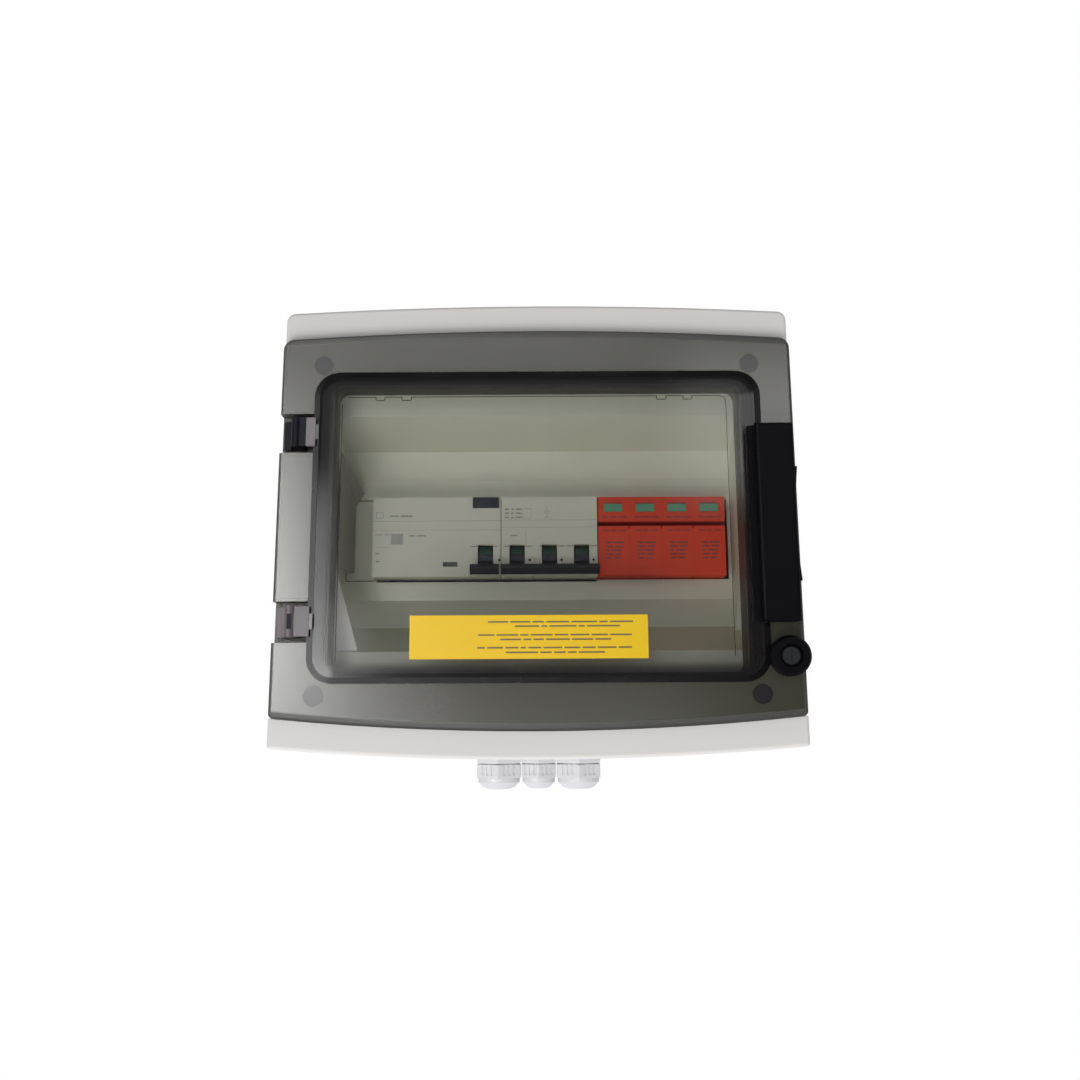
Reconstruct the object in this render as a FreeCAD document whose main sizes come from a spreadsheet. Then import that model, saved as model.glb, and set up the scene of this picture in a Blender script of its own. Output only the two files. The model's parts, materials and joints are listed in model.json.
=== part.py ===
"""Surface-mounted solar AC distribution board for twelve modules.

The wall is the plane Y = 0 and the door faces -Y. Z is up. The origin is the middle of the
four wall screws on the back face. "Depth" means the distance in front of the wall.
"""
import FreeCAD, Part
import math
import os
import Sketcher

os.makedirs("parts", exist_ok=True)
doc = FreeCAD.newDocument("DistributionBoard")
Vector = FreeCAD.Vector

# Driving dimensions, in millimetres and degrees
SIZES = {
    # devices on the rail, which the rest is drawn round
    "module": 18.0, "module_places": 12.0, "device_gap": 0.4, "device_height": 90.0,
    "shoulder_over_rail": 45.0, "nose_over_rail": 60.0, "nose_half_height": 22.5,
    "hook_behind_rail": 5.4, "toggle_axis_z": -11.5, "toggle_axis_inset": 8.0,
    "drum_radius": 7.5, "drum_gap": 0.4, "slot_half_height": 6.8, "slot_width": 8.6,
    "lever_thickness": 3.0, "toggle_angle": 30.0, "bar_reach": 15.5, "bar_length": 4.4,
    "bar_thickness": 5.0, "toggle_side_gap": 0.4, "terminal_z": 34.0, "terminal_radius": 3.1,
    "terminal_depth": 3.8, "terminal_head": 2.6, "terminal_stem": 0.4,
    "wire_hole_width": 8.0, "wire_hole_height": 9.0, "wire_hole_depth": 3.6,
    "wire_hole_over_rail": 21.0, "clip_width": 10.0, "clip_gap": 0.25, "clip_thickness": 2.8,
    "clip_tail": 3.0, "button_width": 14.6, "button_low": 16.4, "button_high": 22.2,
    "button_travel": 1.5, "button_proud": 1.2, "rcd_lever_width": 16.0,
    "rcd_lever_inset": 8.7, "window_inset": 24.0, "window_width": 8.2, "window_low": -17.0,
    "window_height": 2.7, "rivet_z": -12.9, "rivet_inset": 1.7, "rivet_radius": 1.1,
    # plug-in surge arrester
    "spd_step": 1.4, "socket_depth": 32.6, "spd_strip_low": 8.4, "cartridge_high": 6.2,
    "cartridge_gap": 0.3, "flag_width": 10.6, "flag_low": 14.0, "flag_height": 4.6,
    # top-hat rail
    "rail_width": 35.0, "rail_channel": 25.0, "rail_back": 16.5, "rail_height": 7.5,
    "rail_sheet": 1.0, "rail_end_gap": 21.6, "rail_screw_inset": 5.0, "rail_boss_radius": 5.5,
    "pilot_radius": 1.6, "small_screw_head_radius": 3.2, "small_screw_head_height": 2.0,
    "small_screw_length": 9.0, "pilot_depth": 13.0,
    # inner panel
    "cutout_clearance": 0.6, "blank_width": 16.2, "panel_over_shoulder": 3.0,
    "panel_sheet": 2.0, "trough_rise": 5.5, "trough_flat_run": 12.0, "trough_slope_run": 16.0,
    "rim_over_panel": 27.5, "trough_clearance": 1.5, "rim_width": 6.5, "rim_fold_inset": 10.3,
    "rim_overlap": 3.2, "panel_screw_x": 60.0, "panel_screw_inset": 5.5, "panel_ear_side": 15.0,
    "panel_post_radius": 4.5,
    # smoked door
    "aperture_margin": 0.4, "aperture_height": 154.6, "aperture_radius": 5.0,
    "door_overlap": 9.0, "door_overlap_end": 5.1, "door_gap": 1.0, "door_thickness": 3.0,
    "door_radius": 13.5, "bevel_width": 12.0, "bevel_drop": 2.4, "door_gasket_width": 2.4,
    "door_gasket_thickness": 0.7,
    # smoked front cover
    "side_band": 19.5, "end_band": 24.0, "cover_top_extra": 1.6, "cover_flare": 0.6,
    "cover_proud": 5.0, "cover_wall": 3.0,
    "cover_top_rise": 4.7, "cover_bottom_rise": 6.9, "cover_top_radius": 6.0,
    "cover_bottom_radius": 2.5, "cover_round": 1.8, "cover_gap": 0.4, "gasket_thickness": 1.2,
    "collar_wall": 2.5, "collar_gap": 0.3,
    # screws that hold the cover
    "cover_screw_side": 22.5, "cover_screw_end": 17.9, "cover_screw_radius": 2.0,
    "screw_post_radius": 5.6, "screw_head_radius": 3.9, "screw_head_height": 3.0,
    "screw_seat_depth": 7.5, "screw_length": 26.0, "cap_radius": 5.0, "cap_height": 2.0,
    # white back box
    "box_side_proud": 0.1, "box_flare": 1.9, "band_height": 14.7, "box_top_extra": 3.3,
    "seat_step": 7.0, "seat_over_rim": 6.5,
    "box_wall": 3.0, "box_top_rise": 4.0, "box_bottom_rise": 6.0, "box_top_radius": 5.0,
    "box_bottom_radius": 2.0, "band_skin": 2.5, "band_round": 2.0,
    "seat_margin_side": 10.0, "seat_margin_end": 25.0,
    "wall_hole_spacing_x": 200.0, "wall_hole_spacing_z": 150.0, "wall_hole_radius": 2.6,
    # hinges
    "hinge_end_inset": 31.9, "hinge_axis_inset": 9.5, "hinge_axis_over_door": 0.6,
    "hinge_pin_radius": 1.2, "hinge_pocket_height": 21.5, "hinge_pocket_depth": 8.0,
    "hinge_pocket_gap": 0.8, "hinge_block_height": 15.8, "hinge_block_inset": 1.2,
    "hinge_block_side": 3.6, "hinge_block_base": 2.6, "hinge_ear_width": 3.4,
    "knuckle_radius": 2.4, "knuckle_height": 8.2, "arm_thickness": 2.3,
    # black handle
    "handle_axis_inset": 1.5, "handle_axis_over_door": 4.0, "handle_over_axis": 4.0,
    "handle_end_inset": 30.4, "handle_edge_inset": 3.3, "handle_bracket_side": 5.5,
    "handle_bracket_thickness": 1.4, "handle_barrel_radius": 2.2, "handle_lug_height": 4.0,
    "handle_lug_inset": 16.0, "handle_pin_radius": 1.2, "handle_round": 1.6,
    "handle_wall": 2.6, "handle_gap": 1.3, "grip_end_inset": 22.0, "grip_z": -1.5,
    "grip_reach": 1.3, "grip_scoop": 1.6, "nose_gap": 6.0, "nose_width": 3.0,
    "nose_height": 19.0, "nose_catch": 3.5,
    # round lock
    "lock_gap": 0.6, "lock_end_inset": 13.0, "lock_radius": 10.4, "lock_height": 7.0,
    "lock_recess_radius": 6.0, "lock_recess_depth": 3.0, "lock_neck_radius": 4.2,
    "lock_shaft_radius": 2.9, "lock_dial_radius": 4.8, "lock_dial_height": 2.1,
    "cam_reach": 16.2, "cam_width": 4.0, "cam_thickness": 2.0, "cam_behind_cover": 5.2,
    "keeper_overlap": 0.4, "keeper_thickness": 2.2, "keeper_height": 9.0,
    "keeper_behind_cover": 10.5,
    # cable glands
    "gland_depth": 58.0, "gland_pad_proud": 0.6, "gland_pad_thickness": 5.8,
    "gland_pad_margin": 2.5, "big_flats": 24.0, "big_thread": 9.9, "big_bore": 6.5,
    "small_flats": 19.0, "small_thread": 7.9, "small_bore": 5.0, "gland_gap": 0.8,
    "gland_hex_height": 3.4, "gland_nut_gap": 0.5, "gland_nut_hex": 7.4, "gland_dome": 6.2,
    "locknut_height": 5.0, "gland_tail": 5.5, "gland_thread_gap": 0.15, "gland_rib": 1.5,
    # earth and neutral bars
    "bar_x": 62.0, "bar_end_inset": 49.1, "bar_span": 70.0, "bar_height": 8.0,
    "bar_back": 28.0, "bar_depth": 6.0, "bar_pitch": 9.0, "bar_screws": 7.0,
    "bar_screw_radius": 1.5, "bar_screw_head": 2.4, "pillar_width": 9.0, "bar_foot": 3.0,
}

# Dimensions that follow from the driving ones
FOLLOWING = {
    "rail_front": "rail_back + rail_height",
    "device_shoulder": "rail_front + shoulder_over_rail",
    "device_nose": "rail_front + nose_over_rail",
    "hook_depth": "rail_front - hook_behind_rail",
    "toggle_axis_depth": "device_nose - toggle_axis_inset",
    "wire_hole_centre": "rail_front + wire_hole_over_rail",
    "spd_nose": "device_nose - spd_step",
    "spd_floor": "spd_nose - socket_depth",
    "panel_front": "device_shoulder + panel_over_shoulder",
    "trough_fold_depth": "panel_front + trough_rise",
    "panel_rim": "panel_front + rim_over_panel",
    "collar_end": "panel_rim + collar_gap",
    "seat_depth": "panel_rim + seat_over_rim",
    "box_depth": "seat_depth + seat_step",
    "cover_depth": "box_depth + cover_proud",
    "screw_seat": "cover_depth - screw_seat_depth",
    "door_back": "cover_depth + door_gap",
    "door_front": "door_back + door_thickness",
    "hinge_axis_depth": "door_back + hinge_axis_over_door",
    "hinge_pocket_floor": "cover_depth - hinge_pocket_depth",
    "handle_axis_depth": "door_front + handle_axis_over_door",
    "handle_front": "handle_axis_depth + handle_over_axis",
    "nose_tip": "cover_depth - nose_catch",
    "cam_front": "cover_depth - cam_behind_cover",
    "keeper_tip": "cover_depth - keeper_behind_cover",
    "cutout_width": "module * module_places + cutout_clearance * 2",
    "cutout_height": "(nose_half_height + cutout_clearance) * 2",
    "row_left": "blank_width - cutout_width / 2",
    "aperture_width": "cutout_width + aperture_margin * 2",
    "panel_half_width": "aperture_width / 2 + trough_clearance",
    "rim_half_width": "panel_half_width + rim_width",
    "door_width": "aperture_width + door_overlap * 2",
    "door_height": "aperture_height + door_overlap_end * 2",
    "cover_width": "door_width + side_band * 2",
    "cover_height": "door_height + end_band * 2",
    "box_width": "cover_width + box_side_proud * 2",
    "box_height": "cover_height + band_height * 2",
    "rail_length": "box_width - rail_end_gap * 2",
    "rail_screw_x": "rail_length / 2 - rail_screw_inset",
    "trough_flat": "nose_half_height + trough_flat_run",
    "trough_fold": "trough_flat + trough_slope_run",
    "rim_fold": "aperture_height / 2 - rim_fold_inset",
    "rim_half_height": "aperture_height / 2 + rim_overlap",
    "panel_screw_z": "rim_half_height + panel_screw_inset",
    "panel_ear_half_height": "panel_screw_z + panel_screw_inset",
    "panel_ear_half_width": "panel_screw_x + panel_ear_side",
    "cover_screw_x": "cover_width / 2 - cover_screw_side",
    "cover_screw_z": "cover_height / 2 - cover_screw_end",
    "hinge_z": "door_height / 2 - hinge_end_inset",
    "hinge_axis_x": "cover_width / 2 - hinge_axis_inset",
    "hinge_block_left": "cover_width / 2 - hinge_block_inset",
    "hinge_block_right": "hinge_axis_x - hinge_block_side",
    "handle_height": "door_height - handle_end_inset * 2",
    "handle_axis_x": "door_width / 2 - handle_axis_inset",
    "handle_right": "cover_width / 2 - handle_edge_inset",
    "handle_bracket_left": "handle_axis_x - handle_bracket_side",
    "handle_lug_z": "handle_height / 2 - handle_lug_inset",
    "grip_height": "handle_height - grip_end_inset * 2",
    "nose_left": "door_width / 2 + nose_gap",
    "lock_x": "door_width / 2 + lock_gap + lock_radius",
    "lock_z": "lock_end_inset - door_height / 2",
    "keeper_left": "lock_x - cam_reach - keeper_overlap",
    "gland_pitch": "big_flats / 2 + small_flats / 2 + gland_gap",
    "gland_seat": "box_height / 2 + gland_pad_proud",
    "gland_pad_inner": "gland_seat - gland_pad_thickness",
    "bar_z": "bar_end_inset - box_height / 2",
}

sheet = doc.addObject("Spreadsheet::Sheet", "Sizes")
for row, (alias, number) in enumerate(SIZES.items(), start=1):
    sheet.set(f"A{row}", alias.replace("_", " "))
    sheet.set(f"B{row}", str(number))
    sheet.setAlias(f"B{row}", alias)
doc.recompute()
for row, (alias, formula) in enumerate(FOLLOWING.items(), start=1):
    sheet.set(f"D{row}", alias.replace("_", " "))
    sheet.set(f"E{row}", f"={formula}")
    sheet.setAlias(f"E{row}", alias)
    doc.recompute()


class Size:
    """A length with the sheet expression it comes from, so that each formula is written once."""

    def __init__(self, value, text=None):
        self.value = float(value)
        self.text = text or repr(float(value))

    def __add__(self, other):
        other = size(other)
        return Size(self.value + other.value, f"({self.text} + {other.text})")

    def __sub__(self, other):
        other = size(other)
        return Size(self.value - other.value, f"({self.text} - {other.text})")

    def __mul__(self, other):
        other = size(other)
        return Size(self.value * other.value, f"({self.text} * {other.text})")

    def __truediv__(self, other):
        other = size(other)
        return Size(self.value / other.value, f"({self.text} / {other.text})")

    def __neg__(self):
        return Size(-self.value, f"(-{self.text})")

    def __radd__(self, other):
        return size(other) + self

    def __rsub__(self, other):
        return size(other) - self

    def __rmul__(self, other):
        return size(other) * self


def size(number):
    return number if isinstance(number, Size) else Size(number)


class Sheet:
    """Reads a driving dimension by its alias."""

    def __getattr__(self, alias):
        return Size(sheet.get(alias), f"Sizes.{alias}")


s = Sheet()


# Sketch and feature helpers
def new_body(label, separate=False):
    body = doc.addObject("PartDesign::Body", label)
    body.Label = label
    body.AllowCompound = separate
    return body


def new_sketch(body, name, plane="XZ", offset=0):
    """A sketch on the body's own plane. On XZ the offset is the depth in front of the wall."""
    sketch = body.newObject("Sketcher::SketchObject", f"{body.Label}_{name}")
    origin = next(f for f in body.Origin.OriginFeatures if f.Role == f"{plane}_Plane")
    sketch.AttachmentSupport = (origin, "")
    sketch.MapMode = "FlatFace"
    sketch.setExpression("AttachmentOffset.Base.z", size(offset).text)
    return sketch


def dimension(sketch, kind, places, length):
    index = sketch.addConstraint(Sketcher.Constraint(kind, *places, size(length).value))
    sketch.setExpression(f"Constraints[{index}]", size(length).text)


def outline(sketch, points, arcs=None):
    """Close the points with lines. arcs gives {edge: rise}, a rise to the right of its edge."""
    arcs = arcs or {}
    first = sketch.GeometryCount
    places = [Vector(size(x).value, size(y).value, 0) for x, y in points]
    for edge, start in enumerate(places):
        end = places[(edge + 1) % len(places)]
        if edge not in arcs:
            sketch.addGeometry(Part.LineSegment(start, end), False)
            continue
        along = end - start
        side = Vector(along.y, -along.x, 0).normalize()
        middle = (start + end) * 0.5 + side * size(arcs[edge]).value
        sketch.addGeometry(Part.Arc(start, middle, end), False)
    # An arc drawn clockwise is kept anticlockwise by the sketcher, with its ends swapped
    ends = {}
    for edge in range(len(points)):
        swapped = edge in arcs and size(arcs[edge]).value < 0
        ends[edge] = (2, 1) if swapped else (1, 2)
    for edge in range(len(points)):
        after = (edge + 1) % len(points)
        places = (first + edge, ends[edge][1], first + after, ends[after][0])
        sketch.addConstraint(Sketcher.Constraint("Coincident", *places))
    for edge, (x, y) in enumerate(points):
        dimension(sketch, "DistanceX", (-1, 1, first + edge, ends[edge][0]), x)
        dimension(sketch, "DistanceY", (-1, 1, first + edge, ends[edge][0]), y)
    for edge, rise in arcs.items():
        start, end = points[edge], points[(edge + 1) % len(points)]
        span_x, span_y = size(end[0]) - start[0], size(end[1]) - start[1]
        square = (span_x * span_x + span_y * span_y) / 4
        rise = size(rise) if size(rise).value > 0 else -size(rise)
        dimension(sketch, "Radius", (first + edge,), (square + rise * rise) / (rise * 2))


def rectangle(sketch, left, right, low, high):
    outline(sketch, [(left, low), (right, low), (right, high), (left, high)])


def rounded_rectangle(sketch, half_x, half_y, radius):
    """A rectangle round the origin with quarter arcs at its corners."""
    inner_x, inner_y = half_x - radius, half_y - radius
    points = [(-inner_x, -half_y), (inner_x, -half_y), (half_x, -inner_y), (half_x, inner_y),
              (inner_x, half_y), (-inner_x, half_y), (-half_x, inner_y), (-half_x, -inner_y)]
    rise = radius * (1 - math.sqrt(0.5))
    outline(sketch, points, {1: rise, 3: rise, 5: rise, 7: rise})


def circle(sketch, x, y, radius):
    place = Vector(size(x).value, size(y).value, 0)
    index = sketch.addGeometry(Part.Circle(place, Vector(0, 0, 1), size(radius).value), False)
    dimension(sketch, "DistanceX", (-1, 1, index, 3), x)
    dimension(sketch, "DistanceY", (-1, 1, index, 3), y)
    dimension(sketch, "Radius", (index,), radius)


def checked(body, feature, grows):
    """Recompute and make sure that the feature really added or removed material."""
    before = body.BaseVolume if "BaseVolume" in body.PropertiesList else 0
    doc.recompute()
    if "BaseVolume" not in body.PropertiesList:
        body.addProperty("App::PropertyFloat", "BaseVolume")
    volume = feature.Shape.Volume
    if (volume > before) != grows or abs(volume - before) < 1e-6:
        raise ValueError(f"{feature.Name} changed nothing: {before} to {volume}")
    body.BaseVolume = volume
    return feature


def extrude(body, kind, sketch, length, both=False, back=False):
    feature = body.newObject(f"PartDesign::{kind}", f"{sketch.Name}_{kind.lower()}")
    feature.Profile = sketch
    feature.SideType = "Symmetric" if both else "One side"
    feature.Reversed = back
    feature.setExpression("Length", size(length).text)
    sketch.Visibility = False
    return checked(body, feature, kind == "Pad")


def pad(body, sketch, length, both=False, back=False):
    return extrude(body, "Pad", sketch, length, both, back)


def pocket(body, sketch, length, both=False, back=False):
    return extrude(body, "Pocket", sketch, length, both, back)


def dress(body, kind, chosen, length, name):
    """Fillet or chamfer the edges that the test picks out."""
    tip = body.Tip
    names = [f"Edge{i}" for i, edge in enumerate(tip.Shape.Edges, start=1) if chosen(edge)]
    feature = body.newObject(f"PartDesign::{kind}", f"{body.Label}_{name}")
    feature.Base = (tip, names)
    feature.setExpression("Radius" if kind == "Fillet" else "Size", size(length).text)
    doc.recompute()
    body.BaseVolume = feature.Shape.Volume
    return feature


def near(first, second, reach=0.02):
    return abs(first - second) < reach


def lies_at_depth(depth):
    """Test for edges that lie wholly in the plane this far in front of the wall."""
    level = -size(depth).value
    return lambda edge: near(edge.BoundBox.YMin, level) and near(edge.BoundBox.YMax, level)


def runs_along(axis, *tests):
    """Test for straight edges along an axis whose middle passes the other tests."""
    def chosen(edge):
        lengths = {"X": edge.BoundBox.XLength, "Y": edge.BoundBox.YLength,
                   "Z": edge.BoundBox.ZLength}
        own = lengths.pop(axis)
        middle = edge.BoundBox.Center
        return own > 0.5 and max(lengths.values()) < 0.02 and all(t(middle) for t in tests)
    return chosen


def mirrored(x, z):
    """The four places at plus and minus x and z."""
    return [(-x, -z), (x, -z), (x, z), (-x, z)]


def arched(sketch, half_width, low, high, low_rise, high_rise, flare=0):
    """A frame outline with bulging ends. Its lower corners stand out further by the flare."""
    wide = half_width + flare
    points = [(-wide, low), (wide, low), (half_width, high), (-half_width, high)]
    outline(sketch, points, {0: low_rise, 2: high_rise})


# Places that several pieces share
box_half_height = s.box_height / 2
cover_half_height = s.cover_height / 2
box_top = box_half_height + s.box_top_extra
cover_top = cover_half_height + s.cover_top_extra
cover_back = s.seat_depth + s.gasket_thickness
cover_plate_back = s.cover_depth - s.cover_wall
rail_floor_front = s.rail_back + s.rail_sheet
handle_half = s.handle_height / 2
bracket_front = s.door_front + s.handle_bracket_thickness
keeper_right = s.keeper_left + s.keeper_thickness
device_half = s.device_height / 2
clip_front = s.rail_front - s.clip_gap
clip_back = clip_front - s.clip_thickness
toggle_z = s.toggle_axis_z
GLANDS = {"left": -1, "middle": 0, "right": 1}
POLES = 3
CARTRIDGES = 4


def module_left(number):
    """Left edge of a module on the rail, counted from the left end of the row."""
    return s.row_left + s.module * number


def gland_flats(side):
    return s.small_flats if side == 0 else s.big_flats


def gland_thread(side):
    return s.small_thread if side == 0 else s.big_thread


def gland_bore(side):
    return s.small_bore if side == 0 else s.big_bore


# White back box with arched bands above and below the cover
def box_outline(body, name, depth, inset):
    sketch = new_sketch(body, name, "XZ", depth)
    half_width = s.box_width / 2 - inset
    half_height = box_half_height - inset
    low = -half_height + s.box_bottom_rise
    high = half_height + s.box_top_extra - s.box_top_rise
    arched(sketch, half_width, low, high, s.box_bottom_rise, s.box_top_rise, s.box_flare)
    return sketch


def make_back_box():
    body = new_body("back_box")
    pad(body, box_outline(body, "wall_face", size(0), 0), s.box_depth)

    corner = s.box_width.value / 2 - 1
    for high, radius in ((True, s.box_top_radius), (False, s.box_bottom_radius)):
        def chosen(edge):
            middle = edge.BoundBox.Center
            side = (middle.z > 0) == high
            return side and edge.BoundBox.YLength > 50 and abs(middle.x) > corner
        dress(body, "Fillet", chosen, radius, "corner_top" if high else "corner_bottom")
    dress(body, "Fillet", lies_at_depth(s.box_depth), s.band_round, "front_round")

    # Seat for the cover, open to both sides, so that only the two bands stand in front of it
    seat = new_sketch(body, "seat", "XZ", s.box_depth)
    slope_low = s.cover_bottom_rise * 4 / (s.cover_width * s.cover_width)
    slope_high = s.cover_top_rise * 4 / (s.cover_width * s.cover_width)
    reach = s.box_width / 2 + 4
    low = -(cover_half_height + s.cover_gap) + slope_low * reach * reach
    high = cover_top + s.cover_gap - slope_high * reach * reach
    arched(seat, reach, low, high, slope_low * reach * reach, slope_high * reach * reach)
    pocket(body, seat, s.box_depth - s.seat_depth)

    # Main hollow, its front opening inside the seat, and the hollows behind the two bands
    ledge_back = s.seat_depth - s.box_wall
    inside = box_outline(body, "hollow", ledge_back, s.box_wall)
    pocket(body, inside, ledge_back - s.box_wall)
    opening = new_sketch(body, "opening", "XZ", s.seat_depth)
    half_x = s.box_width / 2 - s.seat_margin_side
    half_z = box_half_height - s.seat_margin_end
    rectangle(opening, -half_x, half_x, -half_z, half_z)
    pocket(body, opening, s.box_wall + 0.5)
    dress(body, "Fillet",
          runs_along("Y", lambda m: near(abs(m.x), half_x.value, 0.1)), 6.0, "opening_corner")
    make_band_hollows(body, ledge_back)
    make_box_posts(body)
    make_gland_pad(body)
    return body


def make_band_hollows(body, ledge_back):
    sketch = new_sketch(body, "band_hollows", "XZ", s.box_depth - s.band_skin)
    half_width = s.box_width / 2 - s.box_wall - s.box_top_radius
    ends = ((1, box_top, cover_top, s.box_top_rise, s.cover_top_rise),
            (-1, box_half_height, cover_half_height, s.box_bottom_rise, s.cover_bottom_rise))
    for way, box_end, cover_end, rise, cover_rise in ends:
        outer = (box_end - s.box_wall - 0.4 - rise) * way
        inner = (cover_end + s.cover_gap + s.band_skin - cover_rise) * way
        if way > 0:
            points = [(-half_width, inner), (half_width, inner), (half_width, outer),
                      (-half_width, outer)]
            outline(sketch, points, {0: -cover_rise, 2: rise})
        else:
            points = [(-half_width, outer), (half_width, outer), (half_width, inner),
                      (-half_width, inner)]
            outline(sketch, points, {0: rise, 2: -cover_rise})
    pocket(body, sketch, s.box_depth - s.band_skin - ledge_back + 0.2)


def make_box_posts(body):
    """Posts for the cover, panel and rail screws, and the four holes for the wall screws."""
    posts = [("cover", mirrored(s.cover_screw_x, s.cover_screw_z), s.screw_post_radius,
              s.seat_depth, s.cover_screw_radius, s.screw_length),
             ("panel", mirrored(s.panel_screw_x, s.panel_screw_z), s.panel_post_radius,
              s.panel_rim - s.panel_sheet, s.pilot_radius, s.pilot_depth),
             ("rail", [(-s.rail_screw_x, 0), (s.rail_screw_x, 0)], s.rail_boss_radius,
              s.rail_back, s.pilot_radius, s.pilot_depth)]
    for name, places, radius, top, bore, depth in posts:
        solid = new_sketch(body, f"{name}_posts", "XZ", s.box_wall - 0.5)
        for x, z in places:
            circle(solid, x, z, radius)
        pad(body, solid, top - s.box_wall + 0.5)
        hole = new_sketch(body, f"{name}_pilots", "XZ", top)
        for x, z in places:
            circle(hole, x, z, bore)
        pocket(body, hole, depth)
    holes = new_sketch(body, "wall_holes", "XZ", s.box_wall)
    for x, z in mirrored(s.wall_hole_spacing_x / 2, s.wall_hole_spacing_z / 2):
        circle(holes, x, z, s.wall_hole_radius)
    pocket(body, holes, s.box_wall + 1)


def make_gland_pad(body):
    """A flat pad in the bottom wall, with one clear hole for each gland."""
    flat = new_sketch(body, "gland_pad", "XY", -s.gland_seat)
    half_x = s.gland_pitch + s.big_flats / 2 + s.gland_pad_margin
    half_y = s.big_flats / 2 + s.gland_pad_margin + 1
    middle = -s.gland_depth
    rectangle(flat, -half_x, half_x, middle - half_y, middle + half_y)
    pad(body, flat, s.gland_seat - s.gland_pad_inner)
    holes = new_sketch(body, "gland_holes", "XY", -s.gland_pad_inner + 1)
    for side in GLANDS.values():
        circle(holes, s.gland_pitch * side, middle, gland_thread(side) + s.gland_thread_gap)
    pocket(body, holes, s.gland_seat - s.gland_pad_inner + 3)


# Smoked front cover with the collar that runs back to the inner panel
def cover_outline(body, name, depth, inset):
    sketch = new_sketch(body, name, "XZ", depth)
    arched(sketch, s.cover_width / 2 - inset, -cover_half_height + s.cover_bottom_rise + inset,
           cover_top - s.cover_top_rise - inset, s.cover_bottom_rise, s.cover_top_rise,
           s.cover_flare)
    return sketch


def collar_rectangle(body, name, depth, grow):
    sketch = new_sketch(body, name, "XZ", depth)
    half_x = s.aperture_width / 2 + grow
    half_z = s.aperture_height / 2 + grow
    rectangle(sketch, -half_x, half_x, -half_z, half_z)
    return sketch


def round_cover_corners(body, half_width, inset):
    for high, radius in ((True, s.cover_top_radius), (False, s.cover_bottom_radius)):
        side = (lambda m: m.z > 0) if high else (lambda m: m.z < 0)
        at_edge = lambda m: abs(m.x) > half_width - 0.1
        name = f"corner_{'top' if high else 'bottom'}_{inset}"
        dress(body, "Fillet", runs_along("Y", side, at_edge), radius, name)


def make_front_cover():
    body = new_body("front_cover")
    pad(body, cover_outline(body, "face", cover_back, 0), s.cover_depth - cover_back)
    round_cover_corners(body, s.cover_width.value / 2, "outside")
    dress(body, "Fillet", lies_at_depth(s.cover_depth), s.cover_round, "front_round")
    pocket(body, cover_outline(body, "skirt_inside", cover_back, s.cover_wall),
           cover_plate_back - cover_back, back=True)

    collar = pad(body, collar_rectangle(body, "collar", s.collar_end, s.collar_wall),
                 cover_plate_back - s.collar_end + 0.5)
    pocket(body, collar_rectangle(body, "aperture", s.cover_depth, 0),
           s.cover_depth - s.collar_end + 1)
    inner = (s.aperture_width / 2).value
    outer = (s.aperture_width / 2 + s.collar_wall).value
    dress(body, "Fillet", runs_along("Y", lambda m: near(abs(m.x), inner, 0.1)),
          s.aperture_radius, "aperture_corner")
    dress(body, "Fillet", runs_along("Y", lambda m: near(abs(m.x), outer, 0.1)),
          s.aperture_radius + s.collar_wall, "collar_corner")
    make_screw_sleeves(body)
    make_hinge_pockets(body)
    make_latch_openings(body)
    return body


def make_screw_sleeves(body):
    places = mirrored(s.cover_screw_x, s.cover_screw_z)
    steps = [("sleeves", s.seat_depth + 0.3, s.screw_post_radius, None),
             ("cap_seats", s.cover_depth, s.cap_radius + 0.1, s.cap_height),
             ("head_wells", s.cover_depth, s.screw_head_radius + 0.2,
              s.cover_depth - s.screw_seat),
             ("clearance", s.cover_depth, s.cover_screw_radius + 0.3, s.cover_depth)]
    for name, depth, radius, cut in steps:
        sketch = new_sketch(body, name, "XZ", depth)
        for x, z in places:
            circle(sketch, x, z, radius)
        if cut is None:
            pad(body, sketch, cover_plate_back - depth + 0.5)
        else:
            pocket(body, sketch, cut)


def make_hinge_pockets(body):
    """A blind pocket at each hinge, open to the front and to the left."""
    wall = 2.0
    inner = s.door_width / 2 + s.hinge_pocket_gap
    left = s.cover_width / 2
    half = s.hinge_pocket_height / 2
    blocks = new_sketch(body, "hinge_walls", "XZ", s.hinge_pocket_floor - wall)
    hollows = new_sketch(body, "hinge_pockets", "XZ", s.cover_depth)
    for way in (-1, 1):
        middle = s.hinge_z * way
        rectangle(blocks, -(left - s.cover_wall + 0.5), -(inner - wall),
                  middle - half - wall, middle + half + wall)
        rectangle(hollows, -(left + 1), -inner, middle - half, middle + half)
    pad(body, blocks, cover_plate_back - s.hinge_pocket_floor + wall + 0.5)
    pocket(body, hollows, s.cover_depth - s.hinge_pocket_floor)


def make_latch_openings(body):
    """The slot for the handle's nose, the slot for the keeper and the hole for the lock."""
    sketch = new_sketch(body, "latch_openings", "XZ", s.cover_depth)
    slot_right = s.nose_left + s.nose_width + 3.6
    half = s.nose_height / 2 + 0.8
    rectangle(sketch, s.nose_left - 0.6, slot_right, -half, half)
    half = s.keeper_height / 2 + 0.5
    rectangle(sketch, s.keeper_left - 0.5, keeper_right + 1.0, s.lock_z - half, s.lock_z + half)
    circle(sketch, s.lock_x, s.lock_z, s.lock_neck_radius + 0.15)
    pocket(body, sketch, s.cover_wall + 1)


def make_cover_gasket():
    body = new_body("cover_gasket")
    pad(body, cover_outline(body, "outside", s.seat_depth, 0.8), s.gasket_thickness - 0.1)
    pocket(body, cover_outline(body, "inside", s.seat_depth + s.gasket_thickness, 4.0),
           s.gasket_thickness + 1)
    return body


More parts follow.
